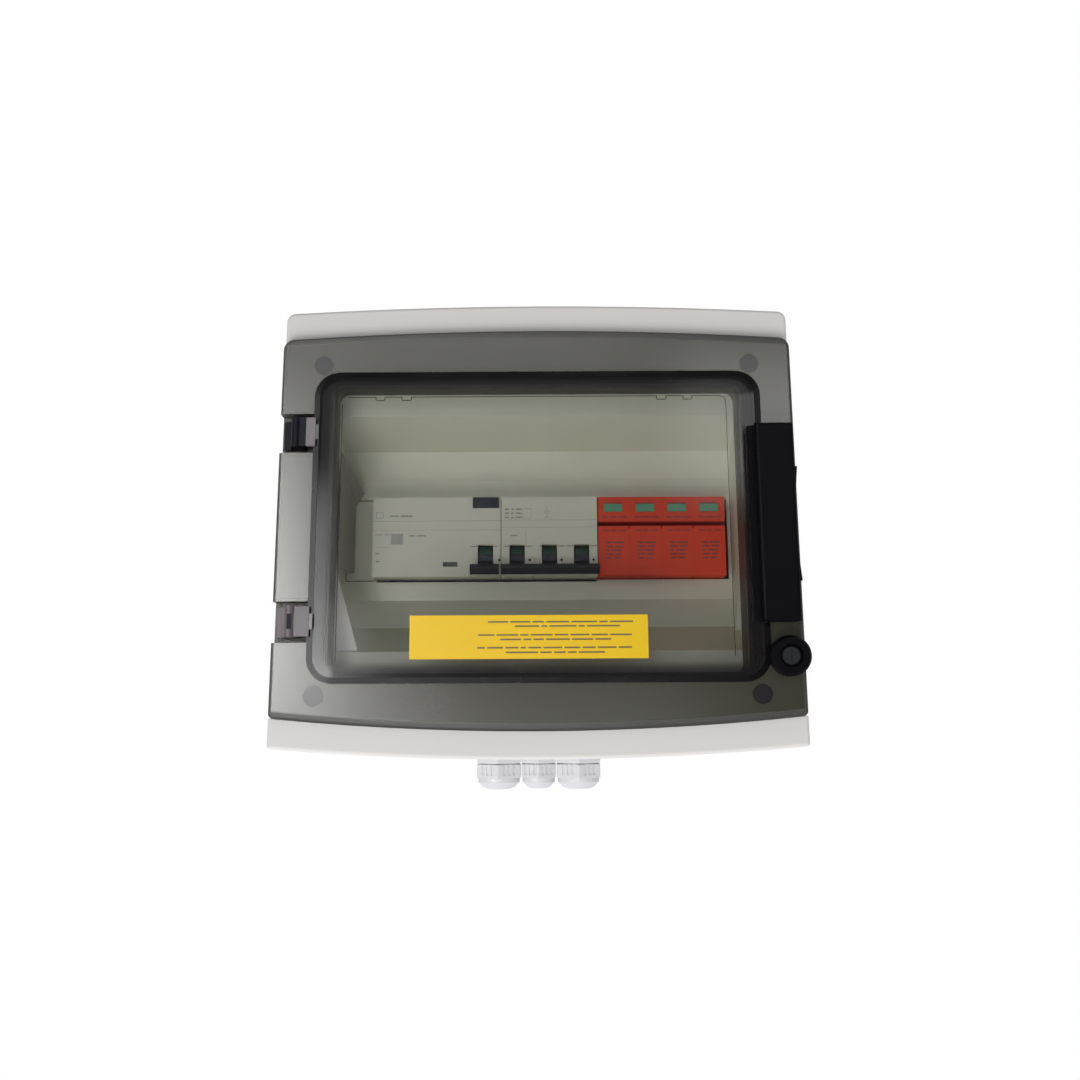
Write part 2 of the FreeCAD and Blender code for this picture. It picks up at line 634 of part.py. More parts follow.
# Screws
def screw_group(label, places, top, head_radius, head_height, shank_radius, length):
    """Slotted screws that drive towards the wall. top is the depth of the head's front."""
    body = new_body(label, separate=len(places) > 1)
    steps = (("heads", top - head_height, head_radius, head_height),
             ("shanks", top - head_height - length, shank_radius, length))
    for name, depth, radius, height in steps:
        sketch = new_sketch(body, name, "XZ", depth)
        for x, z in places:
            circle(sketch, x, z, radius)
        pad(body, sketch, height)
    slots = new_sketch(body, "slots", "XZ", top)
    for x, z in places:
        reach = head_radius * 0.8
        rectangle(slots, x - reach, x + reach, size(z) - 0.45, size(z) + 0.45)
    pocket(body, slots, head_height * 0.4)
    return body


def make_cover_screws():
    return screw_group("cover_screws", mirrored(s.cover_screw_x, s.cover_screw_z),
                       s.screw_seat + s.screw_head_height, s.screw_head_radius,
                       s.screw_head_height, s.cover_screw_radius, s.screw_length)


def make_screw_caps():
    body = new_body("screw_caps", separate=True)
    sketch = new_sketch(body, "discs", "XZ", s.cover_depth - s.cap_height)
    for x, z in mirrored(s.cover_screw_x, s.cover_screw_z):
        circle(sketch, x, z, s.cap_radius)
    pad(body, sketch, s.cap_height)
    return body


# Smoked door with a bevelled border
def make_door():
    body = new_body("door")
    half_x, half_z = s.door_width / 2, s.door_height / 2
    face = new_sketch(body, "face", "XZ", s.door_back)
    rectangle(face, -half_x, half_x, -half_z, half_z)
    pad(body, face, s.door_front - s.door_back)
    dress(body, "Fillet", runs_along("Y"), s.door_radius, "corners")
    bevel = dress(body, "Chamfer", lies_at_depth(s.door_front), s.bevel_drop, "bevel")
    bevel.ChamferType = "Two distances"
    bevel.setExpression("Size2", s.bevel_width.text)
    doc.recompute()
    edge = [v for v in bevel.Shape.Vertexes if near(v.Y, -s.door_front.value)]
    if max(abs(v.X) for v in edge) > (half_x - s.bevel_width).value + 0.1:
        bevel.FlipDirection = True
    doc.recompute()
    body.BaseVolume = bevel.Shape.Volume

    # Flat seat for the handle's bracket on the bevel
    seat = new_sketch(body, "handle_seat", "XZ", s.door_back + 0.3)
    rectangle(seat, s.handle_bracket_left - 0.4, half_x - 0.2, -handle_half - 0.6,
              handle_half + 0.6)
    pad(body, seat, s.door_front - s.door_back - 0.3)

    # Hinge arms that end in knuckles round the hinge pins
    arms = new_sketch(body, "arms", "XZ", s.door_back)
    half = s.knuckle_height / 2
    for way in (-1, 1):
        middle = s.hinge_z * way
        rectangle(arms, -s.hinge_axis_x, -(half_x - 2), middle - half, middle + half)
    pad(body, arms, s.arm_thickness)
    for way, name in ((-1, "lower"), (1, "upper")):
        low = s.hinge_z * way - half
        knuckle = new_sketch(body, f"knuckle_{name}", "XY", low)
        circle(knuckle, -s.hinge_axis_x, -s.hinge_axis_depth, s.knuckle_radius)
        pad(body, knuckle, s.knuckle_height)
    bores = new_sketch(body, "knuckle_bores", "XY", s.hinge_z + half + 1)
    circle(bores, -s.hinge_axis_x, -s.hinge_axis_depth, s.hinge_pin_radius + 0.25)
    pocket(body, bores, s.hinge_z * 2 + s.knuckle_height + 2)

    # Keeper behind the lower right corner: a hook that the lock's cam turns into from below
    keeper = new_sketch(body, "keeper", "XZ", s.keeper_tip)
    half = s.keeper_height / 2
    rectangle(keeper, s.keeper_left, keeper_right, s.lock_z - half, s.lock_z + half)
    pad(body, keeper, s.door_back - s.keeper_tip + 0.5)
    notch = new_sketch(body, "keeper_notch", "YZ", s.keeper_left - 1)
    front = -(s.cam_front + 0.7)
    rectangle(notch, front, front + s.cam_thickness + 1.4, s.lock_z - half - 1,
              s.lock_z + s.cam_width / 2 + 0.8)
    pocket(body, notch, s.keeper_thickness + 2, back=True)
    return body


def make_door_gasket():
    body = new_body("door_gasket")
    back = s.door_back - s.door_gasket_thickness
    for name, grow, depth in (("outside", size(0), back),
                              ("inside", s.door_gasket_width, s.door_back)):
        sketch = new_sketch(body, name, "XZ", depth)
        half_x, half_z = s.door_width / 2 - grow, s.door_height / 2 - grow
        rounded_rectangle(sketch, half_x, half_z, s.door_radius - grow)
        if name == "outside":
            pad(body, sketch, s.door_gasket_thickness)
        else:
            pocket(body, sketch, s.door_gasket_thickness + 1)
    return body


# Hinges
def make_hinge_block(name, way):
    """Two ears on a plate, seated on the floor of the cover's pocket."""
    body = new_body(f"hinge_block_{name}")
    middle = s.hinge_z * way
    half = s.hinge_block_height / 2
    plate = new_sketch(body, "plate", "XZ", s.hinge_pocket_floor)
    rectangle(plate, -s.hinge_block_left, -s.hinge_block_right, middle - half, middle + half)
    pad(body, plate, s.hinge_block_base)
    ear_radius = s.knuckle_radius + 0.2
    for end in (-1, 1):
        low = middle + (half - s.hinge_ear_width if end > 0 else -half)
        ear = new_sketch(body, f"ear_{'upper' if end > 0 else 'lower'}", "XY", low)
        centre_x, centre_y = -s.hinge_axis_x, -s.hinge_axis_depth
        base = -(s.hinge_pocket_floor + s.hinge_block_base - 0.6)
        points = [(centre_x - ear_radius, centre_y), (centre_x + ear_radius, centre_y),
                  (centre_x + ear_radius + 1, base), (centre_x - ear_radius - 2, base)]
        outline(ear, points, {0: ear_radius * 0.999})
        pad(body, ear, s.hinge_ear_width)
    bore = new_sketch(body, "bore", "XY", middle + half + 1)
    circle(bore, -s.hinge_axis_x, -s.hinge_axis_depth, s.hinge_pin_radius)
    pocket(body, bore, s.hinge_block_height + 2)
    return body


def make_hinge_pin(name, way):
    body = new_body(f"hinge_pin_{name}")
    sketch = new_sketch(body, "pin", "XY", s.hinge_z * way - s.hinge_block_height / 2)
    circle(sketch, -s.hinge_axis_x, -s.hinge_axis_depth, s.hinge_pin_radius)
    pad(body, sketch, s.hinge_block_height)
    return body


# Handle with its bracket and pin
def make_handle_bracket():
    body = new_body("handle_bracket")
    plate = new_sketch(body, "plate", "XZ", s.door_front)
    rectangle(plate, s.handle_bracket_left, s.door_width / 2 - 0.4, -handle_half, handle_half)
    pad(body, plate, s.handle_bracket_thickness)
    stem = s.handle_barrel_radius * 0.75
    for way, name in ((-1, "lower"), (1, "upper")):
        low = s.handle_lug_z * way - s.handle_lug_height / 2
        web = new_sketch(body, f"web_{name}", "XY", low)
        rectangle(web, s.handle_axis_x - stem, s.handle_axis_x + stem,
                  -s.handle_axis_depth, -(bracket_front - 0.4))
        pad(body, web, s.handle_lug_height)
        lug = new_sketch(body, f"lug_{name}", "XY", low)
        circle(lug, s.handle_axis_x, -s.handle_axis_depth, s.handle_barrel_radius)
        pad(body, lug, s.handle_lug_height)
    bore = new_sketch(body, "bore", "XY", s.handle_lug_z + s.handle_lug_height)
    circle(bore, s.handle_axis_x, -s.handle_axis_depth, s.handle_pin_radius)
    pocket(body, bore, (s.handle_lug_z + s.handle_lug_height) * 2)
    return body


def make_door_handle():
    """A lever with a rounded barrel at its left, a finger grip at its right and a nose."""
    body = new_body("door_handle")
    axis_x, axis_y = s.handle_axis_x, -s.handle_axis_depth
    radius = s.handle_barrel_radius
    back = -(s.door_back + 0.2)
    inner = s.door_width / 2 + s.handle_gap
    section = new_sketch(body, "section", "XY", -handle_half)
    points = [(axis_x - radius, axis_y), (axis_x - radius, -s.handle_front),
              (s.handle_right, -s.handle_front), (s.handle_right, back), (inner, back),
              (inner, axis_y + radius), (axis_x, axis_y + radius)]
    outline(section, points, {6: radius * -(1 - math.sqrt(0.5))})
    pad(body, section, s.handle_height)
    dress(body, "Fillet", lies_at_depth(s.handle_front), s.handle_round, "front_round")

    grip = new_sketch(body, "grip", "XZ", s.door_front)
    low, high = s.grip_z - s.grip_height / 2, s.grip_z + s.grip_height / 2
    edge = s.handle_right + s.grip_reach
    outline(grip, [(s.handle_right - 3, low), (edge, low), (edge, high),
                   (s.handle_right - 3, high)], {1: -s.grip_scoop})
    pad(body, grip, s.handle_front - s.door_front - s.handle_round)

    # Hollows behind the lever, with a solid rib at the nose
    rib = s.nose_height / 2 + 1
    hollows = new_sketch(body, "hollows", "XZ", s.door_back + 0.2)
    for way in (-1, 1):
        ends = sorted(((rib * way), (handle_half - s.handle_wall) * way), key=lambda z: z.value)
        rectangle(hollows, inner + s.handle_wall, s.handle_right - s.handle_wall, *ends)
    pocket(body, hollows, s.handle_front - s.door_back - s.handle_wall, back=True)
    nose = new_sketch(body, "nose", "XZ", s.nose_tip)
    half = s.nose_height / 2
    rectangle(nose, s.nose_left, s.nose_left + s.nose_width, -half, half)
    pad(body, nose, s.door_back + 0.7 - s.nose_tip)

    # Notches for the bracket's lugs and the bore for the pin
    for way, name in ((-1, "lower"), (1, "upper")):
        notch = new_sketch(body, f"notch_{name}", "XY",
                           s.handle_lug_z * way - s.handle_lug_height / 2 - 0.5)
        rectangle(notch, axis_x - radius - 2, inner + 0.6, -(s.handle_front - 1.4),
                  -(s.door_back))
        pocket(body, notch, s.handle_lug_height + 1, back=True)
    bore = new_sketch(body, "bore", "XY", handle_half + 1)
    circle(bore, axis_x, axis_y, s.handle_pin_radius + 0.25)
    pocket(body, bore, s.handle_height + 2)
    return body


def make_handle_pin():
    body = new_body("handle_pin")
    sketch = new_sketch(body, "pin", "XY", -handle_half + 1)
    circle(sketch, s.handle_axis_x, -s.handle_axis_depth, s.handle_pin_radius)
    pad(body, sketch, s.handle_height - 2)
    return body


# Round lock beside the door's lower right corner
def lock_disc(body, name, depth, radius, height, cuts=False):
    sketch = new_sketch(body, name, "XZ", depth)
    circle(sketch, s.lock_x, s.lock_z, radius)
    return pocket(body, sketch, height) if cuts else pad(body, sketch, height)


def make_lock_housing():
    body = new_body("lock_housing")
    front = s.cover_depth + s.lock_height
    lock_disc(body, "ring", s.cover_depth, s.lock_radius, s.lock_height)
    dress(body, "Chamfer", lies_at_depth(front), 1.2, "rim_edge")
    lock_disc(body, "neck", s.cam_front + 0.4, s.lock_neck_radius,
              s.cover_depth - s.cam_front)
    lock_disc(body, "recess", front, s.lock_recess_radius, s.lock_recess_depth, cuts=True)
    lock_disc(body, "bore", front, s.lock_shaft_radius + 0.3, front, cuts=True)
    return body


def make_lock_barrel():
    body = new_body("lock_barrel")
    floor = s.cover_depth + s.lock_height - s.lock_recess_depth + 0.3
    lock_disc(body, "shaft", s.cam_front, s.lock_shaft_radius, floor - s.cam_front + 0.2)
    lock_disc(body, "dial", floor, s.lock_dial_radius, s.lock_dial_height)
    dress(body, "Chamfer", lies_at_depth(floor + s.lock_dial_height), 0.5, "dial_edge")
    slot = new_sketch(body, "slot", "XZ", floor + s.lock_dial_height)
    rectangle(slot, s.lock_x - 0.5, s.lock_x + 0.5, s.lock_z - 3, s.lock_z + 3)
    pocket(body, slot, 0.8)
    hole = new_sketch(body, "screw_hole", "XZ", s.cam_front)
    circle(hole, s.lock_x, s.lock_z, 1.2)
    pocket(body, hole, 6.5, back=True)
    return body


def make_lock_cam():
    """A finger that points down when the lock is open."""
    body = new_body("lock_cam")
    back = s.cam_front - s.cam_thickness
    lock_disc(body, "disc", back, s.cam_width * 0.9, s.cam_thickness)
    finger = new_sketch(body, "finger", "XZ", back)
    half = s.cam_width / 2
    rectangle(finger, s.lock_x - half, s.lock_x + half, s.lock_z - s.cam_reach, s.lock_z)
    pad(body, finger, s.cam_thickness)
    lock_disc(body, "hole", s.cam_front, 1.2, s.cam_thickness + 1, cuts=True)
    return body


def make_lock_cam_screw():
    body = new_body("lock_cam_screw")
    back = s.cam_front - s.cam_thickness
    lock_disc(body, "head", back - 1.5, 2.4, 1.5)
    lock_disc(body, "shank", back, 1.2, 7.5)
    return body


# Light grey inner panel, folded back in steps to the modules' cut-out
def make_inner_panel():
    body = new_body("inner_panel")
    front = [(-s.panel_rim, s.rim_half_height), (-s.panel_rim, s.rim_fold),
             (-s.trough_fold_depth, s.trough_fold), (-s.panel_front, s.trough_flat)]
    sheet_back = [(y + s.panel_sheet, z) for y, z in front]
    # The back of each slope sits deeper so that the sheet keeps about its thickness
    sheet_back[1] = (sheet_back[1][0], s.rim_fold + 1.2)
    sheet_back[2] = (sheet_back[2][0] + 0.3, s.trough_fold + 0.8)
    lower = [(y, -z) for y, z in reversed(front)]
    lower_back = [(y, -z) for y, z in reversed(sheet_back)]
    section = new_sketch(body, "section", "YZ", 0)
    outline(section, front + lower + list(reversed(sheet_back + lower_back)))
    pad(body, section, (s.panel_half_width + s.panel_sheet) * 2, both=True)

    walls = new_sketch(body, "side_walls", "YZ", 0)
    rectangle(walls, -s.panel_rim, -(s.panel_front - s.panel_sheet), -s.rim_half_height,
              s.rim_half_height)
    pad(body, walls, (s.panel_half_width + s.panel_sheet) * 2, both=True)
    filling = new_sketch(body, "between_walls", "YZ", 0)
    outline(filling, [(-s.panel_rim - 3, s.rim_fold), front[2], front[3]]
            + [lower[0], lower[1], (-s.panel_rim - 3, -s.rim_fold)])
    pocket(body, filling, s.panel_half_width * 2, both=True)
    behind = new_sketch(body, "behind_slopes", "YZ", 0)
    past = -(s.panel_front - s.panel_sheet) + 3
    outline(behind, [(past, s.trough_flat), sheet_back[3], sheet_back[2], sheet_back[1],
                     (sheet_back[0][0], s.rim_half_height + 1), (past, s.rim_half_height + 1)])
    outline(behind, [(past, -s.rim_half_height - 1),
                     (sheet_back[0][0], -s.rim_half_height - 1), lower_back[2], lower_back[1],
                     lower_back[0], (past, -s.trough_flat)])
    pocket(body, behind, s.panel_half_width * 2, both=True)

    rim = new_sketch(body, "rim", "XZ", s.panel_rim - s.panel_sheet)
    rectangle(rim, -s.rim_half_width, s.rim_half_width, -s.rim_half_height, s.rim_half_height)
    rectangle(rim, -s.panel_half_width, s.panel_half_width, -s.rim_fold, s.rim_fold)
    pad(body, rim, s.panel_sheet)
    ears = new_sketch(body, "ears", "XZ", s.panel_rim - s.panel_sheet)
    for way in (-1, 1):
        ends = sorted(((s.rim_half_height - 1) * way, s.panel_ear_half_height * way),
                      key=lambda z: z.value)
        rectangle(ears, -s.panel_ear_half_width, s.panel_ear_half_width, *ends)
    pad(body, ears, s.panel_sheet)

    cutout = new_sketch(body, "cutout", "XZ", s.panel_front)
    half_x, half_z = s.cutout_width / 2, s.cutout_height / 2
    rectangle(cutout, -half_x, half_x, -half_z, half_z)
    pocket(body, cutout, s.panel_sheet + 1)
    holes = new_sketch(body, "screw_holes", "XZ", s.panel_rim)
    for x, z in mirrored(s.panel_screw_x, s.panel_screw_z):
        circle(holes, x, z, s.pilot_radius + 0.3)
    pocket(body, holes, s.panel_sheet + 1)
    return body


def make_panel_screws():
    return screw_group("panel_screws", mirrored(s.panel_screw_x, s.panel_screw_z),
                       s.panel_rim + s.small_screw_head_height, s.small_screw_head_radius,
                       s.small_screw_head_height, s.pilot_radius, s.small_screw_length)


def make_blank_filler():
    """The blanking strip for the one module place that is left over, with its clip legs."""
    body = new_body("blank_filler")
    left = -s.cutout_width / 2 + 0.2
    right = s.row_left - 0.4
    half = s.cutout_height / 2 - 0.2
    face = new_sketch(body, "face", "XZ", s.panel_front - 1.6)
    rectangle(face, left, right, -half, half)
    pad(body, face, 1.8)
    sheet_back = s.panel_front - s.panel_sheet
    for name, depth, low, high in (
            ("legs", sheet_back - 3.5, half - 1.4, half - 0.2),
            ("hooks", sheet_back - 1.2, half - 1, half + 1.2)):
        sketch = new_sketch(body, name, "XZ", depth)
        for way in (-1, 1):
            ends = sorted((low * way, high * way), key=lambda z: z.value)
            rectangle(sketch, left + 3, right - 3, *ends)
        pad(body, sketch, 4.5 if name == "legs" else 1.2)
    return body


# Top-hat rail
def make_din_rail():
    body = new_body("din_rail")
    half, channel = s.rail_width / 2, s.rail_channel / 2
    back, front, sheet_ = -s.rail_back, -s.rail_front, s.rail_sheet
    section = new_sketch(body, "section", "YZ", 0)
    outline(section, [(front, half), (front, channel - sheet_), (back - sheet_, channel - sheet_),
                      (back - sheet_, -channel + sheet_), (front, -channel + sheet_),
                      (front, -half), (front + sheet_, -half), (front + sheet_, -channel),
                      (back, -channel), (back, channel), (front + sheet_, channel),
                      (front + sheet_, half)])
    pad(body, section, s.rail_length, both=True)
    holes = new_sketch(body, "holes", "XZ", rail_floor_front)
    for way in (-1, 1):
        circle(holes, s.rail_screw_x * way, 0, s.pilot_radius + 0.4)
    pocket(body, holes, s.rail_sheet + 1)
    return body


def make_rail_screws():
    places = [(-s.rail_screw_x, 0), (s.rail_screw_x, 0)]
    return screw_group("rail_screws", places, rail_floor_front + s.small_screw_head_height,
                       s.small_screw_head_radius, s.small_screw_head_height, s.pilot_radius,
                       s.small_screw_length)


# Devices that clip on the rail
def device_block(body, left, modules, nose):
    """The housing's side section, hooked behind the rail's upper lip, drawn across its width."""
    lip = s.rail_width / 2
    seat = -s.rail_front
    hook_front, hook_back = -(s.rail_front - s.rail_sheet - 0.3), -(s.hook_depth + 1.6)
    foot = -(lip + 0.5)
    points = [(-s.hook_depth, device_half), (-s.hook_depth, lip + 0.5), (hook_back, lip + 0.5),
              (hook_back, lip - 2.6), (hook_front, lip - 2.6), (hook_front, lip + 0.5),
              (seat, lip + 0.5), (seat, foot), (-s.hook_depth, foot),
              (-s.hook_depth, -device_half),
              (-s.device_shoulder, -device_half), (-s.device_shoulder, -s.nose_half_height),
              (-nose, -s.nose_half_height), (-nose, s.nose_half_height),
              (-s.device_shoulder, s.nose_half_height), (-s.device_shoulder, device_half)]
    section = new_sketch(body, "section", "YZ", left + s.device_gap / 2)
    outline(section, points)
    pad(body, section, s.module * modules - s.device_gap)


def cut_clip_slot(body, centre):
    """The T-shaped slot in the lower rear of a housing, in which the rail clip slides."""
    lower = new_sketch(body, "clip_slot", "XY", -device_half - 1)
    inner = s.clip_width / 2 + 0.3
    outer = inner - 1.5
    floor, step = -(s.rail_front + 0.05), -(clip_back - 0.3)
    back = -(s.hook_depth - 1)
    outline(lower, [(centre - inner, floor), (centre + inner, floor), (centre + inner, step),
                    (centre + outer, step), (centre + outer, back), (centre - outer, back),
                    (centre - outer, step), (centre - inner, step)])
    pocket(body, lower, device_half + 1 - s.rail_width / 2, back=True)


def terminal_places(left, poles, pitch):
    """The terminal screws' places, above and below, one for each pole."""
    centres = [left + pitch * (pole + 0.5) for pole in range(poles)]
    return [(x, s.terminal_z * way) for way in (-1, 1) for x in centres]


def cut_terminals(body, left, poles, pitch):
    wells = new_sketch(body, "terminal_wells", "XZ", s.device_shoulder)
    for x, z in terminal_places(left, poles, pitch):
        circle(wells, x, z, s.terminal_radius)
    pocket(body, wells, s.terminal_depth)
    half = s.wire_hole_width / 2
    for way, name in ((1, "upper"), (-1, "lower")):
        wires = new_sketch(body, f"{name}_wire_holes", "XY", device_half * way)
        for pole in range(poles):
            x = left + pitch * (pole + 0.5)
            rectangle(wires, x - half, x + half, -(s.wire_hole_centre + s.wire_hole_height / 2),
                      -(s.wire_hole_centre - s.wire_hole_height / 2))
        pocket(body, wires, s.wire_hole_depth, back=way < 0)


def cut_toggle_slot(body, centre, name):
    """The slot in the nose and the round hollow behind it for the toggle's drum."""
    half = s.slot_width / 2
    slot = new_sketch(body, f"{name}_slot", "XZ", s.device_nose)
    rectangle(slot, centre - half, centre + half, toggle_z - s.slot_half_height,
              toggle_z + s.slot_half_height)
    pocket(body, slot, s.device_nose - s.toggle_axis_depth)
    hollow = new_sketch(body, f"{name}_hollow", "YZ", centre - half)
    circle(hollow, -s.toggle_axis_depth, toggle_z, s.drum_radius + s.drum_gap)
    pocket(body, hollow, s.slot_width, back=True)


def make_rcd_housing():
    body = new_body("rcd_housing")
    left = module_left(0)
    device_block(body, left, 4, s.device_nose)
    cut_terminals(body, left, 4, s.module)
    cut_clip_slot(body, module_left(2))
    cut_toggle_slot(body, rcd_toggle_centre(), "toggle")
    right = left + s.module * 4 - s.device_gap / 2
    recess = new_sketch(body, "button_recess", "XZ", s.device_nose)
    rectangle(recess, right - s.button_width - 1.2, right - 0.8, s.button_low - 0.2,
              s.nose_half_height + 1)
    pocket(body, recess, s.button_travel + 4.2)
    window = new_sketch(body, "indicator_recess", "XZ", s.device_nose)
    window_rectangle(window, right)
    pocket(body, window, 2)
    return body


def window_rectangle(sketch, right):
    edge = right - s.window_inset
    rectangle(sketch, edge - s.window_width, edge, s.window_low, s.window_low + s.window_height)


def rcd_toggle_centre():
    return module_left(4) - s.rcd_lever_inset


def make_rcd_test_button():
    body = new_body("rcd_test_button")
    right = module_left(4) - s.device_gap / 2
    sketch = new_sketch(body, "cap", "XZ", s.device_nose - s.button_proud - 1.2)
    rectangle(sketch, right - s.button_width - 0.9, right - 1.1, s.button_low, s.button_high)
    pad(body, sketch, s.button_proud * 2 + 1.2)
    return body


def make_rcd_indicator():
    body = new_body("rcd_indicator")
    right = module_left(4) - s.device_gap / 2
    sketch = new_sketch(body, "window", "XZ", s.device_nose - 2)
    window_rectangle(sketch, right)
    pad(body, sketch, 1.5)
    return body


def make_mcb_housing(number):
    body = new_body(f"mcb_housing_{number + 1}")
    left = module_left(4 + number)
    device_block(body, left, 1, s.device_nose)
    cut_terminals(body, left, 1, s.module)
    if number == 1:
        cut_clip_slot(body, left + s.module / 2)
    cut_toggle_slot(body, left + s.module / 2, "toggle")
    marks = new_sketch(body, "rivet_marks", "XZ", s.device_nose)
    for x in (left + s.rivet_inset, left + s.module - s.rivet_inset):
        circle(marks, x, s.rivet_z, s.rivet_radius)
    pocket(body, marks, 0.6)
    return body


def lever_corner(along, across):
    """A place on a lever, along it from the axis and across it, in the YZ plane."""
    turn = math.radians(s.toggle_angle.value)
    angle = f"{s.toggle_angle.text} * 1deg"
    cosine = Size(math.cos(turn), f"cos({angle})")
    sine = Size(math.sin(turn), f"sin({angle})")
    forward = size(along) * cosine - size(across) * sine
    down = size(along) * sine + size(across) * cosine
    return (-s.toggle_axis_depth - forward, toggle_z - down)


def lever_outline(sketch, start, end, thickness):
    half = thickness / 2
    corners = [lever_corner(start, -half), lever_corner(start, half), lever_corner(end, half),
               lever_corner(end, -half)]
    outline(sketch, corners)


def make_toggle(label, centre):
    """A drum on its axis with the lever that stands out of the slot, pointing down at rest."""
    body = new_body(label)
    width = s.slot_width - s.toggle_side_gap * 2
    drum = new_sketch(body, "drum", "YZ", centre)
    circle(drum, -s.toggle_axis_depth, toggle_z, s.drum_radius)
    pad(body, drum, width, both=True)
    lever = new_sketch(body, "lever", "YZ", centre)
    lever_outline(lever, s.drum_radius / 2, s.bar_reach - s.bar_length / 2,
                  s.lever_thickness)
    pad(body, lever, width, both=True)
    return body


def make_handle_bar(body, name, left, right):
    sketch = new_sketch(body, name, "YZ", left)
    lever_outline(sketch, s.bar_reach - s.bar_length / 2, s.bar_reach + s.bar_length / 2,
                  s.bar_thickness)
    pad(body, sketch, right - left)
    dress(body, "Fillet", lambda e: near(e.BoundBox.XLength, (right - left).value), 0.8,
          f"{name}_round")


def make_rcd_toggle():
    centre = rcd_toggle_centre()
    body = make_toggle("rcd_toggle", centre)
    make_handle_bar(body, "bar", centre - s.rcd_lever_width / 2 - 0.2,
                    centre + s.rcd_lever_width / 2 - 0.2)
    return body


def make_mcb_toggle(number):
    return make_toggle(f"mcb_toggle_{number + 1}", module_left(4 + number) + s.module / 2)


def make_mcb_tie_bar():
    body = new_body("mcb_tie_bar")
    make_handle_bar(body, "bar", module_left(4) + 0.2, module_left(7) + 0.6)
    return body


def make_rail_clip(label, centre):
    """The sliding foot that hooks behind the rail's lower lip."""
    body = new_body(label)
    half = s.clip_width / 2
    lip = s.rail_width / 2
    plate = new_sketch(body, "foot", "XZ", clip_back)
    rectangle(plate, centre - half, centre + half, -device_half - s.clip_tail, -lip - 0.3)
    pad(body, plate, s.clip_thickness)
    hook = new_sketch(body, "hook", "XZ", clip_back)
    rectangle(hook, centre - half, centre + half, -lip - 1, -lip + 2.4)
    pad(body, hook, s.clip_thickness - s.rail_sheet)
    slot = new_sketch(body, "slot", "XZ", clip_front)
    rectangle(slot, centre - 2.5, centre + 2.5, -device_half - 1.8, -device_half - 0.6)
    pocket(body, slot, 4)
    return body


def make_terminal_screws(label, left, poles, pitch):
    floor = s.device_shoulder - s.terminal_depth
    return screw_group(label, terminal_places(left, poles, pitch), floor + 3.0,
                       s.terminal_radius - 0.2, s.terminal_head, s.terminal_radius - 1.4,
                       s.terminal_stem)


# Plug-in surge arrester
def make_spd_base():
    body = new_body("spd_base")
    left = module_left(7)
    device_block(body, left, 4, s.spd_nose)
    cut_terminals(body, left, 4, s.module)
    cut_clip_slot(body, module_left(9))
    socket = new_sketch(body, "socket", "XZ", s.spd_nose)
    rectangle(socket, left - 1, left + s.module * 4 + 1, -s.nose_half_height - 0.1,
              s.spd_strip_low)
    pocket(body, socket, s.spd_nose - s.spd_floor)
    recess = new_sketch(body, "flag_recesses", "XZ", s.spd_nose)
    for number in range(CARTRIDGES):
        flag_rectangle(recess, number, 0)
    pocket(body, recess, 1.6)
    return body


def flag_rectangle(sketch, number, inset):
    middle = module_left(7 + number) + s.module / 2
    half = s.flag_width / 2 - inset
    rectangle(sketch, middle - half, middle + half, s.flag_low + inset,
              s.flag_low + s.flag_height - inset)


def make_spd_indicators():
    body = new_body("spd_indicators", separate=True)
    sketch = new_sketch(body, "windows", "XZ", s.spd_nose - 1.6)
    for number in range(CARTRIDGES):
        flag_rectangle(sketch, number, 0.05)
    pad(body, sketch, 1.3)
    return body


def make_spd_cartridge(number):
    """A plug-in module with finger ribs along its upper edge."""
    body = new_body(f"spd_cartridge_{number + 1}")
    left = module_left(7 + number) + s.cartridge_gap
    right = module_left(8 + number) - s.cartridge_gap
    block = new_sketch(body, "block", "XZ", s.spd_floor)
    rectangle(block, left, right, -s.nose_half_height + 0.1, s.cartridge_high)
    pad(body, block, s.spd_nose - s.spd_floor)
    front = -s.spd_nose.value
    along = runs_along("X", lambda m: near(m.y, front))
    dress(body, "Fillet", along, 0.8, "front_round")
    ribs = new_sketch(body, "finger_grooves", "XZ", s.spd_nose)
    for groove in (0, 1):
        high = s.cartridge_high - 1.6 - groove * 1.5
        rectangle(ribs, left + 5.5, right - 5.5, high - 0.7, high)
    pocket(body, ribs, 0.5)
    return body


# Cable glands
def hexagon(sketch, x, y, flats):
    """A hexagon with two of its flats facing the neighbouring glands."""
    corner = flats / math.sqrt(3)
    half = corner / 2
    outline(sketch, [(x - flats / 2, y - half), (x, y - corner), (x + flats / 2, y - half),
                     (x + flats / 2, y + half), (x, y + corner), (x - flats / 2, y + half)])


def gland_disc(body, name, side, low, radius, height, cuts=False):
    sketch = new_sketch(body, name, "XY", low)
    circle(sketch, s.gland_pitch * side, -s.gland_depth, radius)
    return pocket(body, sketch, height) if cuts else pad(body, sketch, height)


def gland_hexagon(body, name, side, low, height):
    sketch = new_sketch(body, name, "XY", low)
    hexagon(sketch, s.gland_pitch * side, -s.gland_depth, gland_flats(side))
    return pad(body, sketch, height)


